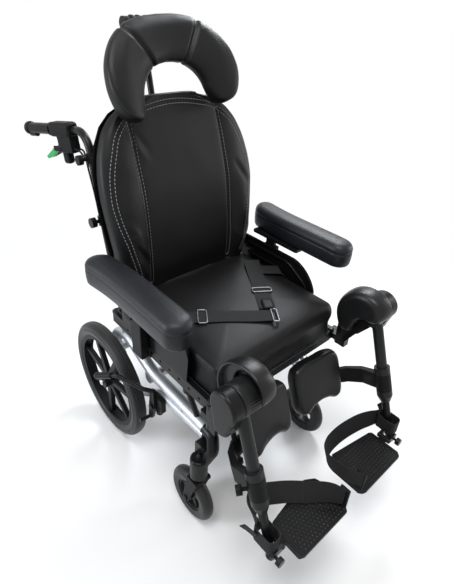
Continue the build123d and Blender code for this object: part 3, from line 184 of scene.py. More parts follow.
def manyGrids(name, grids, wrapColumns=True, wrapRows=False, sharp=None, strap=None):  # one mesh of grids
    vertices, faces, offset = [], [], 0
    for grid in grids:
        rows, columns = grid.shape[:2]
        vertices.append(grid.reshape(-1, 3))
        faces.append(gridFaces(rows, columns, wrapColumns, wrapRows) + offset)
        offset += rows * columns
    return finishMesh(name, np.vstack(vertices), np.vstack(faces).tolist(), sharp, strap)


def surface(name, grid, **settings):  # one grid: rows, columns, 3, in metres
    return manyGrids(name, [grid], **settings)


def frameOf(axis):  # an axis at length 1, and two unit ways square to it
    axis = unit(np.asarray(axis, float))
    helper = np.array([0, 0, 1.0]) if abs(axis[2]) < 0.9 else np.array([1.0, 0, 0])
    first = unit(np.cross(helper, axis))
    return axis, first, np.cross(axis, first)


def turned(profile, centre, axis, segments):  # profile of (along, radius) turned about an axis
    axis, first, second = frameOf(axis)
    angle = np.linspace(0, 2 * math.pi, segments, endpoint=False)
    profile = np.asarray(profile, float)
    ring = np.cos(angle)[:, None] * first + np.sin(angle)[:, None] * second
    radial = profile[:, 1][:, None, None] * ring[None]
    return np.asarray(centre, float) + profile[:, 0][:, None, None] * axis + radial


def tubeGrid(points, radius, sides):  # a round tube along points, its ends rounded over
    points = np.asarray(points, float)
    along = unit(np.gradient(points, axis=0))
    first = np.zeros_like(points)
    first[0] = frameOf(along[0])[1]
    for index in range(1, len(points)):  # each ring's frame is carried on from the one before
        first[index] = unit(first[index - 1] - along[index] * (first[index - 1] @ along[index]))
    second = np.cross(along, first)
    angle = np.linspace(0, 2 * math.pi, sides, endpoint=False)
    points = np.vstack([points[:1]] * 2 + [points] + [points[-1:]] * 2)
    points[0] -= along[0] * radius * 0.5
    points[1] -= along[0] * radius * 0.4
    points[-1] += along[-1] * radius * 0.5
    points[-2] += along[-1] * radius * 0.4
    first = np.vstack([first[:1]] * 2 + [first] + [first[-1:]] * 2)
    second = np.vstack([second[:1]] * 2 + [second] + [second[-1:]] * 2)
    radii = np.full(len(points), float(radius))
    radii[[0, 1, -2, -1]] = [0, radius * 0.7, radius * 0.7, 0]
    ring = np.cos(angle)[None, :, None] * first[:, None] + np.sin(angle)[None, :, None] * second[:, None]
    return points[:, None] + ring * radii[:, None, None]


ribbonHalf = [-0.985, -0.9, -0.45, 0, 0.45, 0.9, 0.985]
ribbonSide = np.array([-1, *ribbonHalf, 1, *ribbonHalf[::-1]])
ribbonLift = np.array([0, 0.8, 1, 1, 1, 1, 1, 0.8, 0, -0.8, -1, -1, -1, -1, -1, -0.8])


def ribbonGrid(points, across, width, thickness):  # a flat section with rounded edges along points
    points = np.asarray(points, float)
    along = unit(np.gradient(points, axis=0))
    across = np.broadcast_to(np.asarray(across, float), points.shape)
    across = unit(across - along * np.sum(across * along, axis=1)[:, None])
    normal = np.cross(along, across)
    side = (ribbonSide * width / 2)[None, :, None]
    lift = (ribbonLift * thickness / 2)[None, :, None]
    rows = points[:, None] + side * across[:, None] + lift * normal[:, None]
    ends = [np.repeat(row.mean(0)[None, None], len(ribbonSide), 1) for row in (rows[0], rows[-1])]
    return np.vstack([ends[0], rows, ends[1]])


def webbing(name, runs):  # straps as one mesh, with the weave's coordinates on every point
    grids, strap = [], []
    for points, across, width, thickness in runs:
        points = np.asarray(points, float)
        walked = walkedAlong(points)
        walked = np.concatenate([walked[:1], walked, walked[-1:]])
        cells = np.zeros((len(walked), len(ribbonSide), 3))
        cells[..., 0] = walked[:, None]
        cells[..., 1] = ribbonSide * width / 2
        grids.append(ribbonGrid(points, across, width, thickness))
        strap.append(cells.reshape(-1, 3))
    return manyGrids(name, grids, sharp=50, strap=np.vstack(strap))


def stitches(path, normals, look):  # short raised threads along a path on a surface
    pitch, dash, width, height = (look[key] / 1000 for key in ("pitch", "dash", "width", "height"))
    walked = walkedAlong(path)
    centres = np.arange(pitch / 2, walked[-1], pitch)
    at = centres[:, None] + np.array([-0.5, -0.4, 0, 0.4, 0.5]) * dash
    spots = np.stack([np.interp(at, walked, path[:, k]) for k in range(3)], -1)
    normal = unit(np.stack([np.interp(centres, walked, normals[:, k]) for k in range(3)], -1))
    along = spots[:, -1] - spots[:, 0]
    along /= np.linalg.norm(along, axis=1)[:, None] + 1e-12
    side = np.cross(normal, along)
    angle = np.linspace(0, 2 * math.pi, 6, endpoint=False)[:, None]
    ring = np.cos(angle) * side[:, None] * width / 2 + np.sin(angle) * normal[:, None] * height
    size = np.array([0.05, 0.8, 1, 0.8, 0.05])[:, None, None]
    return list(spots[:, :, None] + ring[:, None] * size)


def mirrorX(grid):  # x to -x
    return grid * np.array([-1.0, 1, 1])


def bothSides(name, grids):  # the left piece and its mirror image
    return [manyGrids(name + "_left", grids), manyGrids(name + "_right", [mirrorX(grid) for grid in grids])]


def tree(piece):  # a piece's surface, ready for rays
    return BVHTree.FromObject(piece, bpy.context.evaluated_depsgraph_get())


def onto(bvh, points, way):  # points moved along a way until they meet a surface, and the normals there
    spots, normals = [], []
    start = 0.3  # metres back along the way
    way = Vector(way).normalized()
    for point in points:
        hit, normal = bvh.ray_cast(Vector(point) - way * start, way)[:2]
        if hit is None:
            hit, normal = bvh.find_nearest(Vector(point))[:2]
        spots.append(hit)
        normals.append(normal)
    return np.array(spots), np.array(normals)


# ---- materials

class Signal:  # a shader value: an expression on it adds Math nodes
    def __init__(self, paint, socket):
        self.paint, self.socket = paint, socket

    def join(self, operation, other):
        made = self.paint.node("ShaderNodeMath", {"operation": operation}, {0: self, 1: other})
        return Signal(self.paint, made.outputs[0])

    def __add__(self, other):
        return self.join("ADD", other)

    def __mul__(self, other):
        return self.join("MULTIPLY", other)

    __radd__ = __add__
    __rmul__ = __mul__

    def least(self, other):
        return self.join("MINIMUM", other)


class Paint:  # one node material
    def __init__(self, name):
        self.material = bpy.data.materials.new(name)
        self.material.use_nodes = True
        self.shader = self.material.node_tree.nodes["Principled BSDF"]
        self.where = self.signal("ShaderNodeTexCoord", {}, {}, "Object")

    def node(self, kind, settings, inputs):
        made = self.material.node_tree.nodes.new(kind)
        for key, value in settings.items():
            setattr(made, key, value)
        for key, value in inputs.items():
            self.feed(made.inputs[key], value)
        return made

    def feed(self, socket, value):
        if isinstance(value, Signal):
            value = value.socket
        if isinstance(value, bpy.types.NodeSocket):
            self.material.node_tree.links.new(value, socket)
        elif isinstance(value, tuple) and len(value) == 3 and socket.type == "RGBA":
            socket.default_value = (*value, 1)
        else:
            socket.default_value = value

    def signal(self, kind, settings, inputs, output):
        return Signal(self, self.node(kind, settings, inputs).outputs[output])

    def noise(self, scale, detail=3, roughness=0.5, vector=None):
        inputs = {"Vector": vector or self.where, "Scale": scale, "Detail": detail, "Roughness": roughness}
        return self.signal("ShaderNodeTexNoise", {}, inputs, "Fac")

    def cells(self, scale):  # distance to the edge of small cells
        inputs = {"Vector": self.where, "Scale": scale}
        return self.signal("ShaderNodeTexVoronoi", {"feature": "DISTANCE_TO_EDGE"}, inputs, "Distance")

    def waves(self, direction, scale, distortion, vector):
        inputs = {"Vector": vector, "Scale": scale, "Distortion": distortion}
        return self.signal("ShaderNodeTexWave", {"bands_direction": direction}, inputs, "Fac")

    def stretched(self, scale):  # the place, scaled by its own amount along each axis
        return self.signal("ShaderNodeMapping", {}, {"Vector": self.where, "Scale": scale}, "Vector")

    def mix(self, share, low, high):
        settings = {"data_type": "RGBA"}
        return self.signal("ShaderNodeMix", settings, {"Factor": share, 6: low, 7: high}, 2)

    def relief(self, height, distance, strength=1.0, edge=None):
        inputs = {"Height": height, "Distance": distance, "Strength": strength}
        if edge is not None:
            inputs["Normal"] = edge
        return self.signal("ShaderNodeBump", {}, inputs, "Normal")

    def roundedEdge(self, radius):  # softens the look of the CAD pieces' edges
        return self.signal("ShaderNodeBevel", {"samples": 6}, {"Radius": radius}, "Normal")

    def set(self, **values):
        for key, value in values.items():
            self.feed(self.shader.inputs[key.replace("_", " ")], value)
        return self.material


def vinyl(name, look):  # upholstery vinyl: fine grain of small cells, a soft sheen that varies
    paint = Paint(name)
    cloud = paint.noise(look["cloudScale"], 4, 0.55)
    grain = paint.cells(look["grainScale"])
    fine = paint.noise(look["grainScale"] * 2.2, 2)
    height = (grain * 2.2).least(0.35) + fine * 0.25 + cloud * look["softness"]
    colour = paint.mix(cloud, look["dark"], look["light"])
    rough = cloud * look["roughSpread"] + look["rough"]
    return paint.set(
        Base_Color=colour,
        Roughness=rough,
        Specular_IOR_Level=look["shine"],
        Normal=paint.relief(height, look["depth"], look["strength"]),
    )


def powderCoat(name, look):  # baked paint on metal: faint orange peel, worn a little at random
    paint = Paint(name)
    peel = paint.noise(look["peelScale"], 2)
    dust = paint.noise(look["dustScale"], 5, 0.6)
    colour = paint.mix(dust, look["dark"], look["light"])
    rough = dust * look["roughSpread"] + look["rough"]
    edge = paint.roundedEdge(look["edge"])
    return paint.set(
        Base_Color=colour,
        Roughness=rough,
        Metallic=look["metal"],
        Specular_IOR_Level=look["shine"],
        Coat_Weight=look["coat"],
        Coat_Roughness=0.15,
        Normal=paint.relief(peel, look["depth"], 1.0, edge),
    )


def moulded(name, look):  # moulded plastic or rubber: spark-eroded grain
    paint = Paint(name)
    grain = paint.noise(look["grainScale"], 3, 0.7)
    dust = paint.noise(look["dustScale"], 4, 0.6)
    colour = paint.mix(dust, look["dark"], look["light"])
    rough = dust * look["roughSpread"] + look["rough"]
    edge = paint.roundedEdge(look["edge"])
    return paint.set(
        Base_Color=colour,
        Roughness=rough,
        Specular_IOR_Level=look["shine"],
        Normal=paint.relief(grain, look["depth"], look["strength"], edge),
    )


def brushed(name, look):  # bright steel: fine scratches stretched round the piece
    paint = Paint(name)
    scratch = paint.noise(look["scratchScale"], 3, 0.6, paint.stretched((0.12, 1, 1)))
    rough = scratch * look["roughSpread"] + look["rough"]
    edge = paint.roundedEdge(look["edge"])
    return paint.set(
        Base_Color=look["colour"],
        Metallic=1.0,
        Roughness=rough,
        Normal=paint.relief(scratch, 0.00005, 0.3, edge),
    )


def woven(name, look):  # ribs across the strap and finer yarns, read from the strap's own coordinates
    paint = Paint(name)
    place = paint.signal("ShaderNodeAttribute", {"attribute_name": "strap"}, {}, "Vector")
    ribs = paint.waves("X", look["ribs"], 0.4, place)
    yarns = paint.waves("Y", look["yarns"], 0.3, place)
    fluff = paint.noise(1800, 3, 0.6)
    height = ribs * 0.6 + yarns * 0.3 + fluff * 0.4
    colour = paint.mix(height, look["dark"], look["light"])
    return paint.set(
        Base_Color=colour,
        Roughness=0.7,
        Specular_IOR_Level=0.12,
        Normal=paint.relief(height, 0.0005),
    )


finishes = {
    "seatVinyl": vinyl("seatVinyl", {
        "dark": (0.005, 0.005, 0.0055), "light": (0.010, 0.010, 0.0105), "rough": 0.36, "roughSpread": 0.14,
        "shine": 0.14, "cloudScale": 9, "grainScale": 620, "softness": 0.5, "depth": 0.0005, "strength": 0.3,
    }),
    "backVinyl": vinyl("backVinyl", {
        "dark": (0.0045, 0.0045, 0.0047), "light": (0.009, 0.009, 0.0094), "rough": 0.35, "roughSpread": 0.14,
        "shine": 0.18, "cloudScale": 8, "grainScale": 620, "softness": 0.7, "depth": 0.0006, "strength": 0.3,
    }),
    "armVinyl": vinyl("armVinyl", {
        "dark": (0.008, 0.009, 0.0108), "light": (0.014, 0.0158, 0.019), "rough": 0.30, "roughSpread": 0.12,
        "shine": 0.22, "cloudScale": 14, "grainScale": 760, "softness": 0.4, "depth": 0.0005, "strength": 0.4,
    }),
    "padVinyl": vinyl("padVinyl", {
        "dark": (0.005, 0.005, 0.0055), "light": (0.010, 0.010, 0.0105), "rough": 0.25, "roughSpread": 0.12,
        "shine": 0.24, "cloudScale": 12, "grainScale": 700, "softness": 0.3, "depth": 0.0004,
        "strength": 0.25,
    }),
    "silver": powderCoat("silver", {
        "dark": (0.42, 0.44, 0.47), "light": (0.52, 0.54, 0.575), "rough": 0.3, "roughSpread": 0.12,
        "metal": 0.5, "shine": 0.5, "coat": 0.15, "peelScale": 900, "dustScale": 20, "depth": 0.00008,
        "edge": 0.0012,
    }),
    "black": powderCoat("black", {
        "dark": (0.004, 0.004, 0.0045), "light": (0.009, 0.009, 0.0095), "rough": 0.22, "roughSpread": 0.14,
        "metal": 0.0, "shine": 0.16, "coat": 0.0, "peelScale": 1100, "dustScale": 30, "depth": 0.00012,
        "edge": 0.0012,
    }),
    "plastic": moulded("plastic", {
        "shine": 0.09, "dark": (0.005, 0.005, 0.0054), "light": (0.010, 0.010, 0.0107), "rough": 0.38,
        "roughSpread": 0.14, "grainScale": 1500, "dustScale": 25, "depth": 0.0002, "strength": 0.5,
        "edge": 0.0015,
    }),
    "gloss": moulded("gloss", {
        "shine": 0.1, "dark": (0.003, 0.003, 0.0035), "light": (0.006, 0.006, 0.0065), "rough": 0.2,
        "roughSpread": 0.08, "grainScale": 300, "dustScale": 12, "depth": 0.00004, "strength": 0.4,
        "edge": 0.0015,
    }),
    "drumPlastic": moulded("drumPlastic", {
        "shine": 0.2, "dark": (0.008, 0.0083, 0.0087), "light": (0.015, 0.0156, 0.0163), "rough": 0.28,
        "roughSpread": 0.12, "grainScale": 1200, "dustScale": 20, "depth": 0.00015, "strength": 0.4,
        "edge": 0.0022,
    }),
    "green": moulded("green", {
        "shine": 0.4, "dark": (0.006, 0.24, 0.055), "light": (0.012, 0.34, 0.09), "rough": 0.32,
        "roughSpread": 0.1, "grainScale": 1500, "dustScale": 40, "depth": 0.00008, "strength": 0.3,
        "edge": 0.0018,
    }),
    "tyre": moulded("tyre", {
        "shine": 0.3, "dark": (0.008, 0.008, 0.0084), "light": (0.016, 0.016, 0.017), "rough": 0.34,
        "roughSpread": 0.16, "grainScale": 900, "dustScale": 18, "depth": 0.00025, "strength": 0.5,
        "edge": 0.001,
    }),
    "tread": moulded("tread", {
        "shine": 0.08, "dark": (0.006, 0.006, 0.006), "light": (0.014, 0.014, 0.0145), "rough": 0.36,
        "roughSpread": 0.2, "grainScale": 600, "dustScale": 60, "depth": 0.0005, "strength": 0.7,
        "edge": 0.0015,
    }),
    "stud": moulded("stud", {
        "shine": 0.4, "dark": (0.012, 0.012, 0.0124), "light": (0.04, 0.04, 0.0413), "rough": 0.2,
        "roughSpread": 0.1, "grainScale": 600, "dustScale": 90, "depth": 0.0001, "strength": 0.3,
        "edge": 0.0004,
    }),
    "steel": brushed("steel", {
        "colour": (0.58, 0.58, 0.6), "rough": 0.16, "roughSpread": 0.2, "scratchScale": 700, "edge": 0.0006,
    }),
    "darkSteel": brushed("darkSteel", {
        "colour": (0.16, 0.16, 0.17), "rough": 0.2, "roughSpread": 0.2, "scratchScale": 700, "edge": 0.0006,
    }),
    "webbing": woven("webbing", {
        "dark": (0.005, 0.005, 0.005), "light": (0.026, 0.026, 0.027), "ribs": 75, "yarns": 260,
    }),
    "thread": moulded("thread", {
        "shine": 0.2, "dark": (0.2, 0.205, 0.22), "light": (0.34, 0.35, 0.37), "rough": 0.7,
        "roughSpread": 0.1, "grainScale": 3000, "dustScale": 200, "depth": 0.0001, "strength": 0.5,
        "edge": 0.0002,
    }),
    # dark grey thread; the same grey makes the painted highlight tube along the seat cushion's lower edge
    "darkThread": moulded("darkThread", {
        "shine": 0.2, "dark": (0.035, 0.037, 0.041), "light": (0.06, 0.064, 0.07), "rough": 0.7,
        "roughSpread": 0.1, "grainScale": 3000, "dustScale": 200, "depth": 0.0001, "strength": 0.5,
        "edge": 0.0002,
    }),
}
print("materials made:", len(finishes))

nodeFinish = {
    "silver": ["side_frame_left", "side_frame_right", "cross_tubes"],
    "black": [
        "castor_housings", "seat_rests", "brake_mounts", "seat_frame", "back_frame", "leg_hanger_left",
        "leg_hanger_right", "brake_lever_left", "brake_lever_right", "headrest_post", "arm_post_left",
        "arm_post_right", "push_handle_left", "push_handle_right", "tilt_cylinder", "recline_cylinder",
        "lower_tube_left", "lower_tube_right",
    ],
    "drumPlastic": ["leg_tube_left", "leg_tube_right"],
    "steel": ["axle_pins", "tilt_rod", "recline_rod"],
    "plastic": [
        "rear_wheel_left", "rear_wheel_right", "castor_fork_left", "castor_fork_right", "arm_sockets",
        "back_shell", "headrest_plate", "tilt_lever_left", "recline_lever_right", "seat_pan",
        "control_cables",
    ],
    "tread": ["footplate_left", "footplate_right"],
    "gloss": ["side_panels"],
    "green": ["tilt_lever_right"],
    "tyre": ["castor_wheel_left", "castor_wheel_right"],
}


def dress(piece, finish, body=None):  # gives a piece its finish, and a new piece its body
    piece.data.materials.clear()
    piece.data.materials.append(finishes[finish])
    if body is not None:
        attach(piece, body)
    return piece


for finishName, nodeNames in nodeFinish.items():
    for nodeName in nodeNames:
        dress(nodes[nodeName], finishName)


# ---- seat cushion: rings of one outline, drawn in at the waist, rolled over the top edge and crowned

seatShape = {
    "halfWidth": 221.0, "front": -355.0, "rear": 58.0, "bottom": 486.6, "edge": 581.0, "crown": 9.0,
    "corner": 30.0, "sideRoll": 13.0, "frontRoll": 30.0, "waist": 3.5, "columns": 260,
    # the painted highlight line below it, a pale tube: height, radius, how far it stops before the rear,
    # points
    "highlightZ": 487.8, "highlightRadius": 1.1, "highlightEnd": 60.0, "highlightPoints": 240,
}


def seatCushion(look):  # rings: outline less outward way times an inset, each at its height
    middle = (look["front"] + look["rear"]) / 2
    half = (look["rear"] - look["front"]) / 2
    ring = roundedBox(look["halfWidth"], half, look["corner"], look["columns"])
    way = outward(ring)
    frontness = np.clip(-way[:, 1], 0, 1) ** 2
    roll = look["sideRoll"] + (look["frontRoll"] - look["sideRoll"]) * frontness
    rows = []
    for scale in (0.0, 0.5, 0.9):  # underside
        rows.append(np.column_stack([ring * scale, np.full(len(ring), look["bottom"])]))
    rows.append(np.column_stack([ring - way * 7, np.full(len(ring), look["bottom"])]))
    rows.append(np.column_stack([ring - way * 2.5, np.full(len(ring), look["bottom"] + 2.5)]))
    for t in np.linspace(0, 1, 12):  # walls
        draw = look["waist"] * math.sin(math.pi * t) - 1.5 * bump(t - 1, 0.3)
        low = look["bottom"] + 8
        z = low + (look["edge"] - roll - low) * t
        rows.append(np.column_stack([ring - way * draw, z]))
    for angle in np.radians(np.linspace(10, 78, 9)):  # rolled edge
        inset = roll * (1 - math.cos(angle))
        z = look["edge"] - roll + roll * math.sin(angle)
        rows.append(np.column_stack([ring - way * (inset - 1.5)[:, None], z]))
    last = rows[-1]
    for t in np.linspace(0.04, 1, 26):  # crowned top
        flat = last[:, :2] * (1 - t)
        lift = look["crown"] * (1 - (1 - t) ** 2.4)
        rows.append(np.column_stack([flat, last[:, 2] * (1 - ease(t)) + (look["edge"] - 1) * ease(t) + lift]))
    grid = np.array(rows)
    grid[..., 1] += middle
    return place(grid)


seatPad = surface("seatPad", seatCushion(seatShape))


def seatTrim(look):  # a pale tube between the cushion and its pan: a painted highlight along the cushion's lower edge
    half = (look["rear"] - look["front"]) / 2
    middle = (look["front"] + look["rear"]) / 2
    ring = roundedBox(look["halfWidth"] + 0.4, half + 0.4, look["corner"], look["highlightPoints"])
    points = np.column_stack([ring[:, 0], ring[:, 1] + middle, np.full(len(ring), look["highlightZ"])])
    points = points[points[:, 1] < look["rear"] - look["highlightEnd"]]
    start = np.argmax(np.linalg.norm(np.diff(points[:, :2], axis=0), axis=1)) + 1
    return surface("seatTrim", tubeGrid(place(np.roll(points, -start, axis=0)), look["highlightRadius"] / 1000, 8))


seatHighlightTube = seatTrim(seatShape)


# ---- padding: a coarse copy blown up a little as cloth, whose movement is carried over to the fine mesh

clothRun = {"frames": 20, "quality": 4, "block": 2000}


# each coarse point moves by cap tanh(reach / cap), and a bell one voxel wide spreads the moves
def puffed(piece, voxel, pressure, cap, way=None):
    scene = bpy.context.scene
    coarse = added(piece.name + "Cloth", piece.data.copy())
    remesh = coarse.modifiers.new("voxels", "REMESH")
    remesh.mode = "VOXEL"
    remesh.voxel_size = voxel
    mesh = bpy.data.meshes.new_from_object(coarse.evaluated_get(bpy.context.evaluated_depsgraph_get()))
    coarse.modifiers.clear()
    coarse.data = mesh
    cloth = coarse.modifiers.new("cloth", "CLOTH")
    cloth.settings.use_pressure = True
    cloth.settings.uniform_pressure_force = pressure
    cloth.settings.effector_weights.gravity = 0
    cloth.settings.quality = clothRun["quality"]
    start = meshPoints(mesh)
    for step in range(1, clothRun["frames"] + 1):
        scene.frame_set(step)
    soft = coarse.evaluated_get(bpy.context.evaluated_depsgraph_get()).to_mesh()
    moved = meshPoints(soft) - start
    reach = np.linalg.norm(moved, axis=1)
    moved *= (cap * np.tanh(reach / cap) / (reach + 1e-9))[:, None]
    bpy.data.objects.remove(coarse)
    scene.frame_set(1)
    fine = meshPoints(piece.data)
    shift = np.zeros_like(fine)
    size = clothRun["block"]
    for first in range(0, len(fine), size):  # each point takes the mean move of the coarse points round it
        block = fine[first:first + size]
        apart = (block**2).sum(1)[:, None] + (start**2).sum(1) - 2 * block @ start.T
        weights = np.exp(-np.maximum(apart, 0) / (2 * voxel**2)) + 1e-30
        shift[first:first + size] = weights @ moved / weights.sum(1)[:, None]
    if way is not None:
        shift *= way
    movePoints(piece, fine + shift)
    print("padded", piece.name, "most", round(float(np.abs(shift).max()) * 1000, 1), "mm")


puffed(seatPad, voxel=0.012, pressure=3.0, cap=0.005, way=(0.4, 0.5, 1.0))


# ---- back cushion: closed sections, smooth through a table of heights; folds are bells along short lines

backShape = {
    "z": [583, 645, 668, 720, 800, 866, 930, 989, 1030, 1058, 1077, 1089],
    "half": [214, 223, 236, 242, 250, 254, 248, 231, 208, 178, 140, 92],
    "seamY": [41, 42, 44, 48, 56, 67, 86, 105, 119, 129, 136, 141.5],
    "depth": [50, 62, 66, 72, 76, 74, 66, 56, 48, 40, 31, 21],
    "swell": [14, 22, 24, 24, 20, 17, 14, 10, 7, 4, 2, 1],
    "panelHalf": 145.0, "panelShare": 0.78, "groove": 3.0, "rows": 150, "columns": 300,
    # x and z of both ends, width, height towards the sitter
    "folds": [
        ((-152, 1012), (-118, 948), 9, 3.2), ((-136, 1016), (-104, 966), 7, -2.6),
        ((-196, 762), (-152, 690), 8, 5.0), ((-192, 732), (-150, 655), 6, -4.0),
        ((-205, 800), (-166, 735), 9, 3.6), ((196, 905), (232, 845), 11, 4.0),
        ((180, 900), (216, 836), 8, -3.2), ((150, 700), (200, 640), 12, 3.0),
        ((-190, 690), (-156, 625), 8, 4.0), ((-172, 672), (-150, 620), 6, -3.0),
        ((-60, 760), (40, 640), 40, 1.6), ((30, 980), (96, 860), 36, 1.4),
    ],
}


def backRows(look, at):  # the table's columns, smooth over the height
    names = ("half", "seamY", "depth", "swell")
    table = np.column_stack([look[name] for name in names])
    values = smoothRow(look["z"], table, at)
    return {name: values[:, index] for index, name in enumerate(names)}


def backCushion(look):  # at each height, a closed Catmull-Rom curve through the section's points
    at = np.linspace(look["z"][0], look["z"][-1], look["rows"])
    row = backRows(look, at)
    half, seam, depth, swell = (row[name] for name in ("half", "seamY", "depth", "swell"))
    seamX = np.minimum(look["panelHalf"], half * look["panelShare"])
    groove = look["groove"] * np.clip(depth / 50, 0.2, 1)
    rear = seam + depth
    wing = half - seamX
    right = [  # x and y of the control points of one side, front middle to rear middle
        (half * 0, seam + 0.5),
        (seamX * 0.5, seam),
        (seamX * 0.9, seam - 1.5),
        (seamX - 5, seam + groove * 0.3),
        (seamX, seam + groove),
        (seamX + 4, seam + groove * 0.1),
        (seamX + 12, seam - swell * 0.45),
        (seamX + wing * 0.5, seam - swell * 0.95),
        (half - wing * 0.2, seam - swell * 0.7),
        (half - 4, seam - swell * 0.2 + 5),
        (half, seam + depth * 0.3),
        (half - 2, seam + depth * 0.48),
        (half - 12, seam + depth * 0.72),
        (half - 24, seam + depth * 0.88),
        (half - 40, rear),
        (half * 0.4, rear),
    ]
    xs = [x for x, y in right] + [half * 0] + [-x for x, y in right[:0:-1]]
    ys = [y for x, y in right] + [rear] + [y for x, y in right[:0:-1]]
    control = np.stack([np.stack(xs, 1), np.stack(ys, 1)], -1)
    count = control.shape[1]
    t = np.linspace(0, count, look["columns"], endpoint=False)
    cell = t.astype(int)
    u = (t - cell)[None, :, None]
    before, here, after, beyond = (control[:, (cell + shift) % count] for shift in (-1, 0, 1, 2))
    section = 0.5 * (
        2 * here + (after - before) * u + (2 * before - 5 * here + 4 * after - beyond) * u**2
        + (3 * here - before - 3 * after + beyond) * u**3
    )
    grid = np.concatenate([section, np.broadcast_to(at[:, None, None], (*section.shape[:2], 1))], -1)
    front = ease((seam[:, None] + depth[:, None] * 0.5 - grid[..., 1]) / 20)
    for start, end, width, height in look["folds"]:
        start, end = np.array(start, float), np.array(end, float)
        along = end - start
        spot = grid[..., [0, 2]] - start
        share = np.clip(spot @ along / (along @ along), 0, 1)
        off = np.linalg.norm(spot - share[..., None] * along, axis=-1)
        grid[..., 1] -= height * bump(off, width) * front * (1 - 0.6 * np.abs(2 * share - 1))
    caps = []
    for edge, sign in ((grid[0], -1), (grid[-1], 1)):  # both ends close over in a low dome
        centre = np.array([0, edge[:, 1].mean(), edge[0, 2]])
        rings = []
        for scale, rise in ((0.985, 2.0), (0.95, 4.0), (0.85, 6.0), (0.5, 7.0), (0.0, 7.0)):
            ring = centre + (edge - centre) * scale
            ring[:, 2] += sign * rise * (0.2 if sign < 0 else 1)
            rings.append(ring)
        caps.append(rings)
    grid = np.concatenate([np.array(caps[0][::-1]), grid, np.array(caps[1])])
    return place(grid)


backPad = surface("backPad", backCushion(backShape))
puffed(backPad, voxel=0.012, pressure=3.0, cap=0.005, way=(0.3, 1.0, 0.3))

backSeams = {
    "panel": [(145, 598), (145, 800), (145, 960), (144, 1049)],
    "bolster": [
        (186, 612), (192, 640), (200, 676), (214, 746), (228, 807), (234, 857), (226, 919), (207, 974),
        (187, 1013), (164, 1036), (146, 1048),
    ],
    "top": [
        (-144, 1049), (-118, 1060), (-87, 1067), (-40, 1074), (0, 1076), (40, 1074), (87, 1067), (118, 1060),
        (144, 1049),
    ],
    "rowGap": 5.4, "pitch": 10.0, "dash": 7.0, "width": 1.7, "height": 1.0, "from": -60.0,
}


def seamRows(bvh, line, look):  # two rows of stitches beside a line of x and z, laid on a surface
    path = splineThrough(line, 160)
    aside = outward(path)
    grids = []
    for shift in (-look["rowGap"], look["rowGap"]):
        flat = path + aside * shift
        points = place(np.column_stack([flat[:, 0], np.full(len(flat), look["from"]), flat[:, 1]]))
        spots, normals = onto(bvh, points, (0, 1, 0))
        grids += stitches(spots, normals, look)
    return grids


def backStitching(look):  # panel and bolster seams on both sides, and one seam across the top
    bvh = tree(backPad)
    grids = []
    for side in (-1, 1):
        for name in ("panel", "bolster"):
            grids += seamRows(bvh, [(x * side, z) for x, z in look[name]], look)
    grids += seamRows(bvh, look["top"], look)
    return manyGrids("backStitching", grids)


backThread = backStitching(backSeams)


# ---- headrest: a crescent between an outer and an inner line, oval in section, drawn in at two seams

headShape = {
    "outer": [
        (0, 60), (52, 57), (98, 46), (134, 26), (164, -2), (187, -38), (197, -74), (198, -104), (190, -138),
        (174, -164), (148, -180),
    ],
    "inner": [
        (0, -58), (32, -62), (60, -74), (80, -90), (94, -107), (102, -122), (107, -137), (112, -150),
        (117, -160), (124, -171), (134, -179),
    ],
    "thickness": 50.0, "frontRise": 5, "frontSag": 42.0, "rearSag": 44.0, "halfWidth": 205.0, "tilt": 7.0,
    "seam": 0.195, "seamSlant": 0.045, "seamDepth": 0.34, "seamWidth": 0.014, "rows": 130, "columns": 64,
    "tipFrom": 0.84, "tipOver": 0.16, "acrossPower": 0.8, "deepPower": 0.72,
    "shift": -22.0, "roll": 4.5, "centreZ": 1229.0, "offset": 139.0, "lean": 0.24, "pivot": (92.0, 490.0),
}


def headFrame(look):  # origin and the three ways of the pad's own frame
    angle = math.atan(look["lean"])
    roll = math.radians(look["roll"])
    y = look["pivot"][0] + look["lean"] * (look["centreZ"] - look["pivot"][1]) - look["offset"]
    ways = leanWays(angle)
    level, raised = ways[0].copy(), ways[2].copy()
    ways[0] = level * math.cos(roll) + raised * math.sin(roll)
    ways[2] = raised * math.cos(roll) - level * math.sin(roll)
    return np.array([look["shift"], y, look["centreZ"]]), ways


def headPad(look):  # middle line plus reach times cos, centre plus depth times sin, to powers below 1
    keys = np.linspace(0, 1, len(look["outer"]))
    t = 1 - (1 - np.linspace(0, 1, look["rows"])) ** 1.25
    outer = smoothRow(keys, look["outer"], t)
    inner = smoothRow(keys, look["inner"], t)
    middle, reach = (outer + inner) / 2, (outer - inner) / 2
    tip = np.clip((t - look["tipFrom"]) / look["tipOver"], 0, 1)
    full = np.sqrt(np.clip(1 - tip**2, 0, 1))
    angle = np.linspace(0, 2 * math.pi, look["columns"], endpoint=False)
    across = np.sign(np.cos(angle)) * np.abs(np.cos(angle)) ** look["acrossPower"]
    deep = np.sign(np.sin(angle)) * np.abs(np.sin(angle)) ** look["deepPower"]
    seam = look["seam"] + look["seamSlant"] * across[None]
    pinch = 1 - look["seamDepth"] * bump(t[:, None] - seam, look["seamWidth"])
    sideScale = full[:, None] ** 0.6 * (0.7 + 0.3 * pinch)
    flat = middle[:, None] + reach[:, None] * (across[None] * sideScale)[..., None]
    x, z = flat[..., 0], flat[..., 1]
    bend = (x / look["halfWidth"]) ** 2
    front = -look["frontRise"] - look["frontSag"] * bend + z * math.tan(math.radians(look["tilt"]))
    rear = look["thickness"] - look["rearSag"] * bend
    centre, depth = (front + rear) / 2, (rear - front) / 2
    y = centre + depth * deep[None] * full[:, None] * pinch
    half = np.stack([x, y, z], -1)
    left = half * np.array([-1.0, 1, 1])
    grid = np.concatenate([left[:0:-1], half])
    origin, ways = headFrame(look)
    return place(origin + grid @ ways)


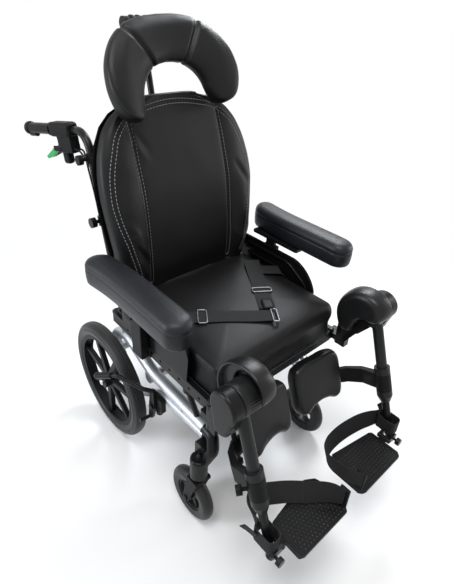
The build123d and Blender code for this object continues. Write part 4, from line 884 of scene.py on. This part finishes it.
headPiece = surface("headPad", headPad(headShape))
puffed(headPiece, voxel=0.008, pressure=3.0, cap=0.004)

headSeams = {
    "rim": [(176, 2), (189, -30), (193, -70), (190, -111), (176, -146), (153, -162)],
    "edge": [(108, 36), (82, -10), (58, -60)],
    "rowGap": 1.6, "pitch": 5.0, "dash": 3.4, "width": 1.1, "height": 0.5, "from": -90.0,
}


def headStitching(look):  # seams in the pad's own frame, laid on its front
    bvh = tree(headPiece)
    origin, ways = headFrame(headShape)
    grids = []
    for side in (-1, 1):
        for name in ("rim", "edge"):
            flat = splineThrough([(x * side, z) for x, z in look[name]], 90)
            ahead = np.column_stack([flat[:, 0], np.full(len(flat), look["from"]), flat[:, 1]])
            spots, normals = onto(bvh, place(origin + ahead @ ways), ways[1])
            grids += stitches(spots, normals, look)
    return manyGrids("headStitching", grids)


headThread = headStitching(headSeams)


# ---- arm pads: rings of a slot outline, rolled over the top

armShape = {
    "x": 290.0, "width": 77.0, "y": (-320.0, 68.0), "columns": 160, "bend": 13.0, "bendFrom": 20.0,
    "wrinkle": 0.9, "rippleZ": 722.0, "ripplePitch": 0.75, "rippleWidth": 9.0,  # folds round the nose
    "noseDrop": 2.0, "dropAbove": 690.0,
    "levels": [  # height, inset
        (668, 38), (668, 9), (669.5, 4.5), (675, 1.6), (690, 0.2), (706, 0.0), (712.5, 0.4), (714.5, 1.7),
        (716.5, 0.6), (722, 0.8), (728, 2.6), (733, 6.0), (736.6, 10.5), (738.8, 16), (740, 22), (740.8, 29),
        (741.2, 36),
    ],
}


def armBend(y, look):  # outward shift of the rear part, in mm; y from the pad's middle
    return look["bend"] * np.clip((y - look["bendFrom"]) / 150, 0, 1.2) ** 2


def armPad(look):  # outline less outward way times each level's inset
    half = look["width"] / 2
    length = (look["y"][1] - look["y"][0]) / 2
    ring = roundedBox(half, length, half - 0.2, look["columns"])
    way = outward(ring)
    straight = length - half
    core = np.column_stack([ring[:, 0] * 0, np.clip(ring[:, 1], -straight, straight)])
    rows = []
    for z, inset in look["levels"]:
        share = np.clip(inset / half, 0, 1)
        flat = ring + (core - ring) * share if inset > 20 else ring - way * inset
        rows.append(np.column_stack([flat, np.full(len(ring), float(z))]))
    low = np.column_stack([core, np.full(len(ring), rows[0][0, 2])])
    high = np.column_stack([core, np.full(len(ring), rows[-1][0, 2] + 0.1)])
    grid = np.array([low, *rows, high])
    nose = np.clip((-grid[..., 1] - straight) / half, 0, 1)
    away = grid[..., 2] - look["rippleZ"]
    ripple = np.cos(away * look["ripplePitch"]) * bump(away - 2, look["rippleWidth"])
    grid[..., 1] -= ripple * nose * look["wrinkle"]
    nearNose = ease((-grid[..., 1] - straight + 30) / (half + 30))
    grid[..., 2] -= look["noseDrop"] * nearNose * (grid[..., 2] > look["dropAbove"])
    grid[..., 0] += look["x"] + armBend(grid[..., 1], look)
    grid[..., 1] += sum(look["y"]) / 2
    return place(grid)


armGrid = armPad(armShape)
armPads = bothSides("armRest", [armGrid])
armSeam = {"inset": 1.2, "z": 719.5, "pitch": 4.6, "dash": 3.2, "width": 1.2, "height": 0.6}


def armStitching(look, shape):  # one row of stitches all round, just above the seam
    half = shape["width"] / 2
    length = (shape["y"][1] - shape["y"][0]) / 2
    ring = roundedBox(half, length, half - 0.2, 400)
    way = outward(ring)
    flat = ring - way * look["inset"]
    flat[:, 0] += shape["x"] + armBend(flat[:, 1], shape)
    flat[:, 1] += sum(shape["y"]) / 2
    points = place(np.column_stack([flat, np.full(len(flat), look["z"])]))
    normals = np.column_stack([way, np.full(len(way), 0.3)])
    return bothSides("armStitching", stitches(points, normals, look))


armThreads = armStitching(armSeam, armShape)


# ---- calf pads: an outline with a hollow lower edge, rolled over the front face

legFrame = {"origin": (0.0, -452.0, 612.0), "lean": 20.4}
calfShape = {
    "outline": [
        (42, -110), (100, -108), (158, -110), (175, -116), (184, -131), (187, -162), (186, -200),
        (183, -236), (174, -253), (158, -258), (130, -246), (100, -241), (70, -246), (42, -258), (26, -253),
        (17, -236), (14, -200), (13, -162), (16, -131), (25, -116),
    ],
    "thickness": 38.0, "roll": 15.0, "crown": 4.0, "turn": -6.0, "hinge": (185.0, 88.0), "columns": 150,
    "armFrom": 0.215,
}


def legPoint(points):  # the leg rest's own frame (x, behind, up) to millimetres
    return np.array(legFrame["origin"]) + np.asarray(points, float) @ leanWays(math.radians(legFrame["lean"]))


def calfPad(look):  # outline less outward way times the roll's 1 - cos, as deep as its sin
    ring = splineThrough(look["outline"], look["columns"], closed=True)[::-1]
    way = outward(ring)
    middle = ring.mean(0)
    rows = []
    depth, roll = look["thickness"], look["roll"]
    for scale in (0.0, 0.6, 0.93):  # rear face
        rows.append((middle + (ring - middle) * scale, depth))
    rows.append((ring - way * 2.5, depth - 0.4))
    rows.append((ring - way * 0.6, depth - 2.6))
    for t in np.linspace(0, 1, 5):
        rows.append((ring + way * 1.6 * math.sin(math.pi * t), depth - 4 - (depth - 4 - roll) * t))
    for angle in np.radians(np.linspace(12, 80, 8)):
        rows.append((ring - way * roll * (1 - math.cos(angle)), roll - roll * math.sin(angle)))
    last = rows[-1][0]
    start = rows[-1][1]
    for t in np.linspace(0.08, 1, 10):
        rows.append((middle + (last - middle) * (1 - t), start - look["crown"] * (1 - (1 - t) ** 2) * 0.9))
    flat = np.array([row for row, deep in rows])
    deep = np.array([np.full(look["columns"], level) for row, level in rows])
    grid = np.stack([flat[..., 0], deep + look["hinge"][1], flat[..., 1]], -1)
    grid[..., :2] = look["hinge"] + turnedFlat(grid[..., :2] - look["hinge"], look["turn"])
    return place(legPoint(grid))


calfPads = bothSides("calfPad", [calfPad(calfShape)])


# a merged copy of a CAD node; with a reach in metres, only the loose parts that pass it sideways stay
def looseParts(source, name, reach=None):
    work = bmesh.new()
    work.from_mesh(nodes[source].data)
    bmesh.ops.remove_doubles(work, verts=work.verts, dist=1e-6)
    mesh = bpy.data.meshes.new(name)
    work.to_mesh(mesh)
    if reach is not None:
        ends = np.empty(len(mesh.edges) * 2, int)
        mesh.edges.foreach_get("vertices", ends)
        ends = ends.reshape(-1, 2)
        label = np.arange(len(mesh.vertices))
        settled = False
        while not settled:  # each vertex takes the lowest number beside it, until nothing changes
            lower = label.copy()
            np.minimum.at(lower, ends[:, 0], label[ends[:, 1]])
            np.minimum.at(lower, ends[:, 1], label[ends[:, 0]])
            lower = lower[lower]
            settled = bool((lower == label).all())
            label = lower
        furthest = np.zeros(len(label))
        np.maximum.at(furthest, label, np.abs(meshPoints(mesh)[:, 0]))
        work.verts.ensure_lookup_table()
        drop = [work.verts[index] for index in np.flatnonzero(furthest[label] <= reach)]
        bmesh.ops.delete(work, geom=drop, context="VERTS")
        work.to_mesh(mesh)
    work.free()
    mesh.polygons.foreach_set("use_smooth", [True] * len(mesh.polygons))
    mesh.set_sharp_from_angle(angle=math.radians(32))
    return added(name, mesh)


def softened(source, name, voxel, passes):  # a CAD solid remeshed in small voxels and smoothed
    piece = looseParts(source, name)
    bpy.context.view_layer.objects.active = piece
    remesh = piece.modifiers.new("voxels", "REMESH")
    remesh.mode = "VOXEL"
    remesh.voxel_size = voxel
    remesh.use_smooth_shade = True
    smooth = piece.modifiers.new("soft", "SMOOTH")
    smooth.factor = 0.5
    smooth.iterations = passes
    ready = piece.evaluated_get(bpy.context.evaluated_depsgraph_get())
    mesh = bpy.data.meshes.new_from_object(ready)
    piece.modifiers.clear()
    piece.data = mesh
    mesh.polygons.foreach_set("use_smooth", [True] * len(mesh.polygons))
    return piece


domeShape = {
    "axis": (-434.0, 622.0), "full": 228.0, "small": 188.0, "least": 0.76, "ellipse": 0.96,
    "rim": 0.86, "rimSoft": 0.07, "face": 226.0, "faceSoft": 9.0, "dish": 13.0, "sectors": 72,
}


# the inner side draws in like a quarter of an ellipse, and the outer face is dished inside its rim
def domed(piece, look):
    spots = meshPoints(piece.data)
    axis = place([0, *look["axis"]])[1:]
    share = np.clip((look["full"] - np.abs(spots[:, 0]) * 1000) / (look["full"] - look["small"]), 0, 1)
    scale = 1 - (1 - look["least"]) * (1 - np.sqrt(1 - share**2 * look["ellipse"]))
    spots[:, 1:] = axis + (spots[:, 1:] - axis) * scale[:, None]
    away = np.linalg.norm(spots[:, 1:] - axis, axis=1)
    count = look["sectors"]
    turn = np.arctan2(spots[:, 2] - axis[1], spots[:, 1] - axis[0]) / math.pi + 1
    sector = (turn * count / 2).astype(int) % count
    edge = np.zeros(count)  # how far the outline reaches in each sector
    np.maximum.at(edge, sector, away)
    inside = ease((look["rim"] - away / edge[sector]) / look["rimSoft"] + 0.5)
    inside *= ease((np.abs(spots[:, 0]) * 1000 - look["face"]) / look["faceSoft"])
    spots[:, 0] -= np.sign(spots[:, 0]) * inside * look["dish"] / 1000
    movePoints(piece, spots)
    return piece


kneePads, leverHousings = [], []
for side in ("left", "right"):
    hood = softened("knee_pad_" + side, "kneeHood_" + side, voxel=0.0022, passes=14)
    kneePads.append(domed(hood, domeShape))
for side in ("left", "right"):
    housing = softened("lever_housing_" + side, "leverHousing_" + side, voxel=0.0011, passes=22)
    leverHousings.append(housing)


# ---- solid tyres: one section turned about the axle, ribbed round its tread and walls

tyreShape = {
    "axle": (257.0, 151.0, 203.0), "radius": 203.0, "depth": 40.0, "halfWidth": 22.0, "squareness": 0.78,
    "ribs": (-92, -78, -42, -28, -14, 0, 14, 28, 42, 78, 92), "ribDepth": 1.6, "ribWidth": 2.8,
    "segments": 180, "span": 118, "points": 240,  # span: degrees from the middle of the tread to each bead
}


def tyreGrid(look):  # section: radius times sin and cos, less a bell at each groove, turned
    turn = np.linspace(-look["span"], look["span"], look["points"])
    angle = np.radians(turn)
    middle = look["radius"] - look["halfWidth"]
    reach = np.full(len(turn), look["halfWidth"])
    for rib in look["ribs"]:
        reach -= look["ribDepth"] * bump(turn - rib, look["ribWidth"])
    squared = np.sign(np.sin(angle)) * np.abs(np.sin(angle)) ** look["squareness"]
    section = np.column_stack([reach * squared, middle + reach * np.cos(angle)])
    bead = look["radius"] - look["depth"] - 0.2
    inner = [(section[-1, 0] - 3, bead), (0, bead), (3 - section[-1, 0], bead)]
    section = np.vstack([section, inner])
    axle = place(look["axle"])
    return turned(section / 1000, axle, (1, 0, 0), look["segments"])


tyres = []
for side, grid in (("left", tyreGrid(tyreShape)), ("right", mirrorX(tyreGrid(tyreShape)))):
    tyres.append(surface("solidTyre_" + side, grid, wrapRows=True))


# ---- heel straps: a sleeve round the leg tube, a band that leans back behind the heel, and a loose tab

footPlace = {"hingeY": -591.463, "tube": (255.0, 14.5), "loop": (19.0, 29.5, 12.0), "low": 250.0}
heelShape = {
    # x, y behind the hinge and lean of the band's face in degrees, from the sleeve to the post
    "left": [
        (256, 43, 0), (240, 46, 8), (222, 54, 16), (190, 66, 22), (140, 76, 24), (90, 78, 24), (50, 74, 22),
        (22, 62, 16), (12, 40, 8), (12, 10, 2), (20, -22, 0), (33, -49, 0),
    ],
    "right": [
        (256, 43, 0), (250, 62, 14), (236, 84, 30), (214, 98, 42), (186, 92, 50), (156, 72, 50),
        (124, 48, 46), (98, 26, 42), (74, 4, 34), (54, -20, 22), (42, -46, 4),
    ],
    "width": 52.0, "thickness": 2.4, "points": 80, "tabLength": 34.0, "tabWidth": 34.0,
    "sleeveWidth": 45.0, "wave": 1.5, "waves": 5,
    "turns": ((252, 46), (196, 66)),  # two points on the band, x and y behind the hinge
}


def heelStrap(look, foot, side):  # a leaning band along a spline, a sleeve and a tab
    band = splineThrough(look[side], look["points"])
    lean = np.radians(band[:, 2])
    plan = unit(np.gradient(band[:, :2], axis=0))
    aside = np.stack([plan[:, 1], -plan[:, 0]], 1)
    across = np.column_stack([aside * np.sin(lean)[:, None], np.cos(lean)])
    wave = look["wave"] * np.sin(np.linspace(0, look["waves"] * math.pi, look["points"])) * np.sin(lean)
    flat = band[:, :2] + aside * wave[:, None]
    z = foot["low"] + look["width"] / 2 * np.cos(lean)
    path = np.column_stack([flat[:, 0], flat[:, 1] + foot["hingeY"], z])
    halfX, halfY, corner = foot["loop"]
    tube = np.array([foot["tube"][0], foot["tube"][1] + foot["hingeY"], foot["low"]])
    ring = roundedBox(halfX - 1.2, halfY - 1.2, corner - 1, 60)
    ring = np.vstack([ring, ring[:8]])  # the sleeve laps over its own start and widens on the way
    ring = ring * np.linspace(1.0, 1.045, len(ring))[:, None] + tube[:2]
    loop = np.column_stack([ring, np.full(len(ring), tube[2] + 23.0)])
    tabStart = tube + [halfX + 2.5, 14, 25]
    t = np.linspace(0, 1, 8)[:, None]
    tab = tabStart + t * [6, look["tabLength"], 10] + t**2 * [7, 0, 4]
    runs = [(place(path), across, look["width"] / 1000, look["thickness"] / 1000)]
    runs.append((place(loop), (0, 0, 1), look["sleeveWidth"] / 1000, look["thickness"] / 1000))
    runs.append((place(tab), (0.2, -0.2, 1), look["tabWidth"] / 1000, look["thickness"] / 1000))
    return runs


def mirrorRuns(runs):  # the same straps on the other side
    flip = np.array([-1.0, 1, 1])
    return [
        (points * flip, np.asarray(across) * flip, width, thickness)
        for points, across, width, thickness in runs
    ]


heelBands, heelSleeves = [], []
for side in ("left", "right"):
    runs = heelStrap(heelShape, footPlace, side)
    if side == "right":
        runs = mirrorRuns(runs)
    heelBands.append(webbing("heelBand_" + side, runs[:1]))
    heelSleeves.append(webbing("heelSleeve_" + side, runs[1:]))


# ---- lap belt: each strap rises from its anchor, turns over the cushion's edge and lies on the seat

beltShape = {
    "right": [
        (-224.6, -101, 486), (-225.0, -101, 540), (-224.6, -101.5, 578), (-220, -105, 592),
        (-206, -115, 594.6), (-150, -156, 594.0), (-80, -206, 596.4), (-20, -250, 594.6), (26, -283, 595.6),
    ],
    "left": [
        (224.6, -132, 486), (225.0, -132, 540), (224.6, -131, 578), (219, -128, 592), (204, -118, 594.4),
        (138, -74, 594.2),
    ],
    "fold": [
        (176, -44, 604), (163, -62, 600), (148, -84, 596.8), (110, -143, 595.8), (60, -218, 594.6),
        (38, -252, 594.2),
    ],
    "width": 48.0, "thickness": 2.2, "points": 70, "wave": 1.0, "waveAbove": 590.0,
    "liesFrom": 570.0, "liesOver": 22.0,  # heights between which a strap turns flat
    # x, y, z, turn, length along the strap, width and bar of each wire frame
    "frames": [
        (-128, -171, 596.2, -35.9, 24, 56, 2.3), (88, -178, 597.0, -123, 20, 56, 2.3),
        (30, -286, 596.8, -35.9, 15, 56, 2.6),
    ],
    "hook": (48, -240, 597.2), "hookHalf": (15, 22), "hookTurn": -33.0,
}


def wireFrame(x, y, z, turn, length, width, bar):  # a bent wire rectangle
    spots = turnedFlat(roundedBox(length / 2, width / 2, 5.0, 64), turn)
    points = np.column_stack([spots + [x, y], np.full(len(spots), float(z))])
    away = np.column_stack([outward(spots), np.zeros(len(spots))])[:, None]
    side = np.linspace(0, 2 * math.pi, 10, endpoint=False)[:, None]
    up = np.array([0, 0, 1.0])
    return place(points[:, None] + bar * (np.cos(side) * away + np.sin(side) * up))


def lapBelt(look):  # three flat straps along splines, upright until they lie on the seat
    runs = []
    for name in ("right", "left", "fold"):
        path = splineThrough(look[name], look["points"])
        along = np.gradient(path, axis=0)
        plan = np.column_stack([-along[:, 1], along[:, 0], along[:, 2] * 0])
        share = ease((path[:, 2] - look["liesFrom"]) / look["liesOver"])[:, None]
        plan /= np.linalg.norm(plan, axis=1)[:, None] + 1e-9
        sign = -1.0 if name == "right" else 1.0
        level = np.array([0, -1.0 if name == "left" else 1.0, 0])
        across = plan if name == "fold" else plan * share + level * (1 - share)
        path[:, 2] += look["wave"] * np.sin(np.linspace(0, 7, len(path))) * (path[:, 2] > look["waveAbove"])
        runs.append((place(path), across * sign, look["width"] / 1000, look["thickness"] / 1000))
    return webbing("beltStraps", runs)


belt = lapBelt(beltShape)
beltFrames = manyGrids("beltFrames", [wireFrame(*sizes) for sizes in beltShape["frames"]], wrapRows=True)


def hookPlate(look):  # the moulded hook on the left strap
    x, y, z = look["hook"]
    spots = turnedFlat(roundedBox(*look["hookHalf"], 6, 60), look["hookTurn"])
    rows = []
    for scale, rise in ((0, 0), (0.9, 0), (1, 1.2), (1, 4.0), (0.93, 5.2), (0.6, 5.6), (0, 5.8)):
        rows.append(np.column_stack([spots * scale + [x, y], np.full(len(spots), z + rise)]))
    return surface("beltHook", place(np.array(rows)))


beltHook = hookPlate(beltShape)


# ---- raised studs on the footplates, in staggered rows

studShape = {
    "x": (46.0, 198.0), "y": (-646.0, -548.0), "pitch": (10.5, 9.0), "radius": 1.9, "rise": 1.6, "top": 240.0,
}


def footStuds(look):  # rings of shrinking radius at each crossing of a staggered lattice
    columns = np.arange(look["x"][0], look["x"][1], look["pitch"][0])
    rows = np.arange(look["y"][0], look["y"][1], look["pitch"][1])
    x, y = np.meshgrid(columns, rows)
    x = x + (np.arange(len(rows)) % 2)[:, None] * look["pitch"][0] / 2
    centres = np.stack([x.ravel(), y.ravel()], 1)
    angle = np.linspace(0, 2 * math.pi, 10, endpoint=False)
    ring = np.stack([np.cos(angle), np.sin(angle)], 1)
    levels = [(1.0, -0.3), (1.0, 0.4), (0.8, 0.8), (0.45, 1.0), (0.0, 1.0)]
    grids = []
    for centre in centres:
        dome = []
        for scale, rise in levels:
            height = np.full(len(ring), look["top"] + look["rise"] * rise)
            dome.append(np.column_stack([ring * look["radius"] * scale + centre, height]))
        grids.append(place(np.array(dome)))
    return bothSides("footStuds", grids)


studs = footStuds(studShape)


# ---- clothes and places of the new pieces

for index, side in enumerate(("left", "right")):
    dress(armPads[index], "armVinyl", "arm_" + side)
    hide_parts("arm_pad_" + side)
    dress(armThreads[index], "darkThread", "arm_" + side)
    dress(calfPads[index], "padVinyl", "calf_" + side)
    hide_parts("calf_support_" + side)
    dress(kneePads[index], "padVinyl", "leg_hanger_" + side)
    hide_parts("knee_pad_" + side)
    carrier = looseParts("calf_support_" + side, "calfArm_" + side, calfShape["armFrom"])
    dress(carrier, "plastic", "calf_" + side)
    dress(leverHousings[index], "plastic", "push_handle_" + side)
    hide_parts("lever_housing_" + side)
    dress(tyres[index], "tyre", "rear_wheel_" + side)
    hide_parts("rear_tyre_" + side)
    dress(heelBands[index], "webbing")  # its sleeve stays on the tube
    sign = 1 if side == "left" else -1
    level = footPlace["low"] + heelShape["width"] / 2
    near, far = (place((sign * x, footPlace["hingeY"] + y, level)) for x, y in heelShape["turns"])
    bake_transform(heelBands[index], "lower_leg_" + side, "foot_" + side, start=tuple(near), end=tuple(far))
    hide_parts("heel_strap_" + side)
    dress(heelSleeves[index], "webbing", "lower_leg_" + side)
    dress(studs[index], "stud", "foot_" + side)
dress(seatPad, "seatVinyl", "seat")
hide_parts("seat_cushion")
# the seat's pale tube is a painted highlight along the cushion's lower edge
dress(seatHighlightTube, "darkThread", "seat")
dress(belt, "webbing", "seat")
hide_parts("lap_belt")
dress(beltFrames, "darkSteel", "seat")
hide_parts("belt_buckles")
dress(beltHook, "plastic", "seat")
dress(backPad, "backVinyl", "back")
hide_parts("back_cushion")
dress(backThread, "thread", "back")
dress(headPiece, "backVinyl", "headrest")
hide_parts("headrest_pad")
dress(headThread, "darkThread", "headrest")
print("new pieces placed")

# ---- stage

floorCorners = np.array([[[x, y, 0.0] for x in (-9.0, 9.0)] for y in (-9.0, 14.0)])
floor = surface("floor", floorCorners, wrapColumns=False)

floorLook = {"colour": (0.88, 0.88, 0.88), "centre": (0.0, -0.05, 0.0), "near": 0.85, "far": 2.1}


# near the chair the floor keeps the shadow; away from it, it turns into the plain white background
def paleFloor(look):
    paint = Paint("paleFloor")
    paint.set(Base_Color=look["colour"], Roughness=0.9, Specular_IOR_Level=0.1)
    away = paint.node("ShaderNodeVectorMath", {"operation": "DISTANCE"}, {0: paint.where, 1: look["centre"]})
    fade = paint.signal(
        "ShaderNodeMapRange", {"interpolation_type": "SMOOTHSTEP"},
        {"Value": away.outputs["Value"], "From Min": look["near"], "From Max": look["far"]}, "Result",
    )
    ray = paint.node("ShaderNodeLightPath", {}, {})
    seen = Signal(paint, ray.outputs["Is Camera Ray"]) + Signal(paint, ray.outputs["Is Glossy Ray"])
    seen = (seen + Signal(paint, ray.outputs["Is Transmission Ray"])).least(1.0)
    white = paint.node("ShaderNodeEmission", {}, {"Color": (1.0, 1.0, 1.0), "Strength": 1.0})
    inputs = {0: fade * seen, 1: paint.shader.outputs[0], 2: white.outputs[0]}
    both = paint.node("ShaderNodeMixShader", {}, inputs)
    paint.feed(paint.material.node_tree.nodes["Material Output"].inputs["Surface"], both.outputs[0])
    return paint.material


floor.data.materials.append(paleFloor(floorLook))

stageLight = {
    "world": 0.30,
    "lamps": [
        {
            "name": "topSoft", "at": (-0.7, -0.5, 3.0), "towards": (0, 0, 0.4), "size": (1.3, 1.2),
            "power": 54, "tint": (1.0, 0.99, 0.98),
        },
        {
            "name": "leftSoft", "at": (-2.6, 1.0, 1.3), "towards": (0, 0, 0.7), "size": (0.6, 1.6),
            "power": 56, "tint": (0.88, 0.94, 1.0),
        },
        {
            "name": "rearSoft", "at": (1.6, 0.9, 2.4), "towards": (-0.1, -0.1, 0.6), "size": (0.9, 0.9),
            "power": 50, "tint": (0.92, 0.96, 1.0),
        },
        {
            "name": "rightSoft", "at": (2.6, -1.2, 1.3), "towards": (0, 0, 0.5), "size": (0.6, 1.6),
            "power": 26, "tint": (1.0, 0.98, 0.97),
        },
    ],
}


def lightStage(look):  # a world that looks white and lights less, and the lamps
    world = bpy.data.worlds.new("studio")
    bpy.context.scene.world = world
    world.use_nodes = True
    links = world.node_tree
    background = links.nodes["Background"]
    background.inputs["Color"].default_value = (1, 1, 1, 1)
    ray = links.nodes.new("ShaderNodeLightPath")
    seen = ray.outputs["Is Camera Ray"]
    for kind in ("Is Glossy Ray", "Is Transmission Ray"):
        either = links.nodes.new("ShaderNodeMath")
        either.operation = "MAXIMUM"
        links.links.new(seen, either.inputs[0])
        links.links.new(ray.outputs[kind], either.inputs[1])
        seen = either.outputs[0]
    pick = links.nodes.new("ShaderNodeMapRange")
    pick.inputs["To Min"].default_value = look["world"]
    pick.inputs["To Max"].default_value = 1.0
    links.links.new(seen, pick.inputs["Value"])
    links.links.new(pick.outputs["Result"], background.inputs["Strength"])
    for lamp in look["lamps"]:
        data = bpy.data.lights.new(lamp["name"], "AREA")
        data.shape = "RECTANGLE"
        data.size, data.size_y = lamp["size"]
        data.energy = lamp["power"]
        data.color = lamp["tint"]
        light = added(lamp["name"], data)
        light.location = lamp["at"]
        way = Vector(lamp["towards"]) - Vector(lamp["at"])
        light.rotation_euler = way.to_track_quat("-Z", "Y").to_euler()


lightStage(stageLight)

cameraView = {
    "at": (-0.7358, -0.8222, 1.3244), "turn": (58.9318, -3.0067, -41.6905), "lens": 27.79,
    "shift": (-0.0081, -0.0411),
}
cameraData = bpy.data.cameras.new("photoView")
cameraData.lens = cameraView["lens"]
cameraData.sensor_width = 36
cameraData.shift_x, cameraData.shift_y = cameraView["shift"]
camera = added("photoView", cameraData)
camera.location = cameraView["at"]
camera.rotation_euler = Euler([math.radians(angle) for angle in cameraView["turn"]])
bpy.context.scene.camera = camera
bpy.context.scene.view_settings.view_transform = "Standard"
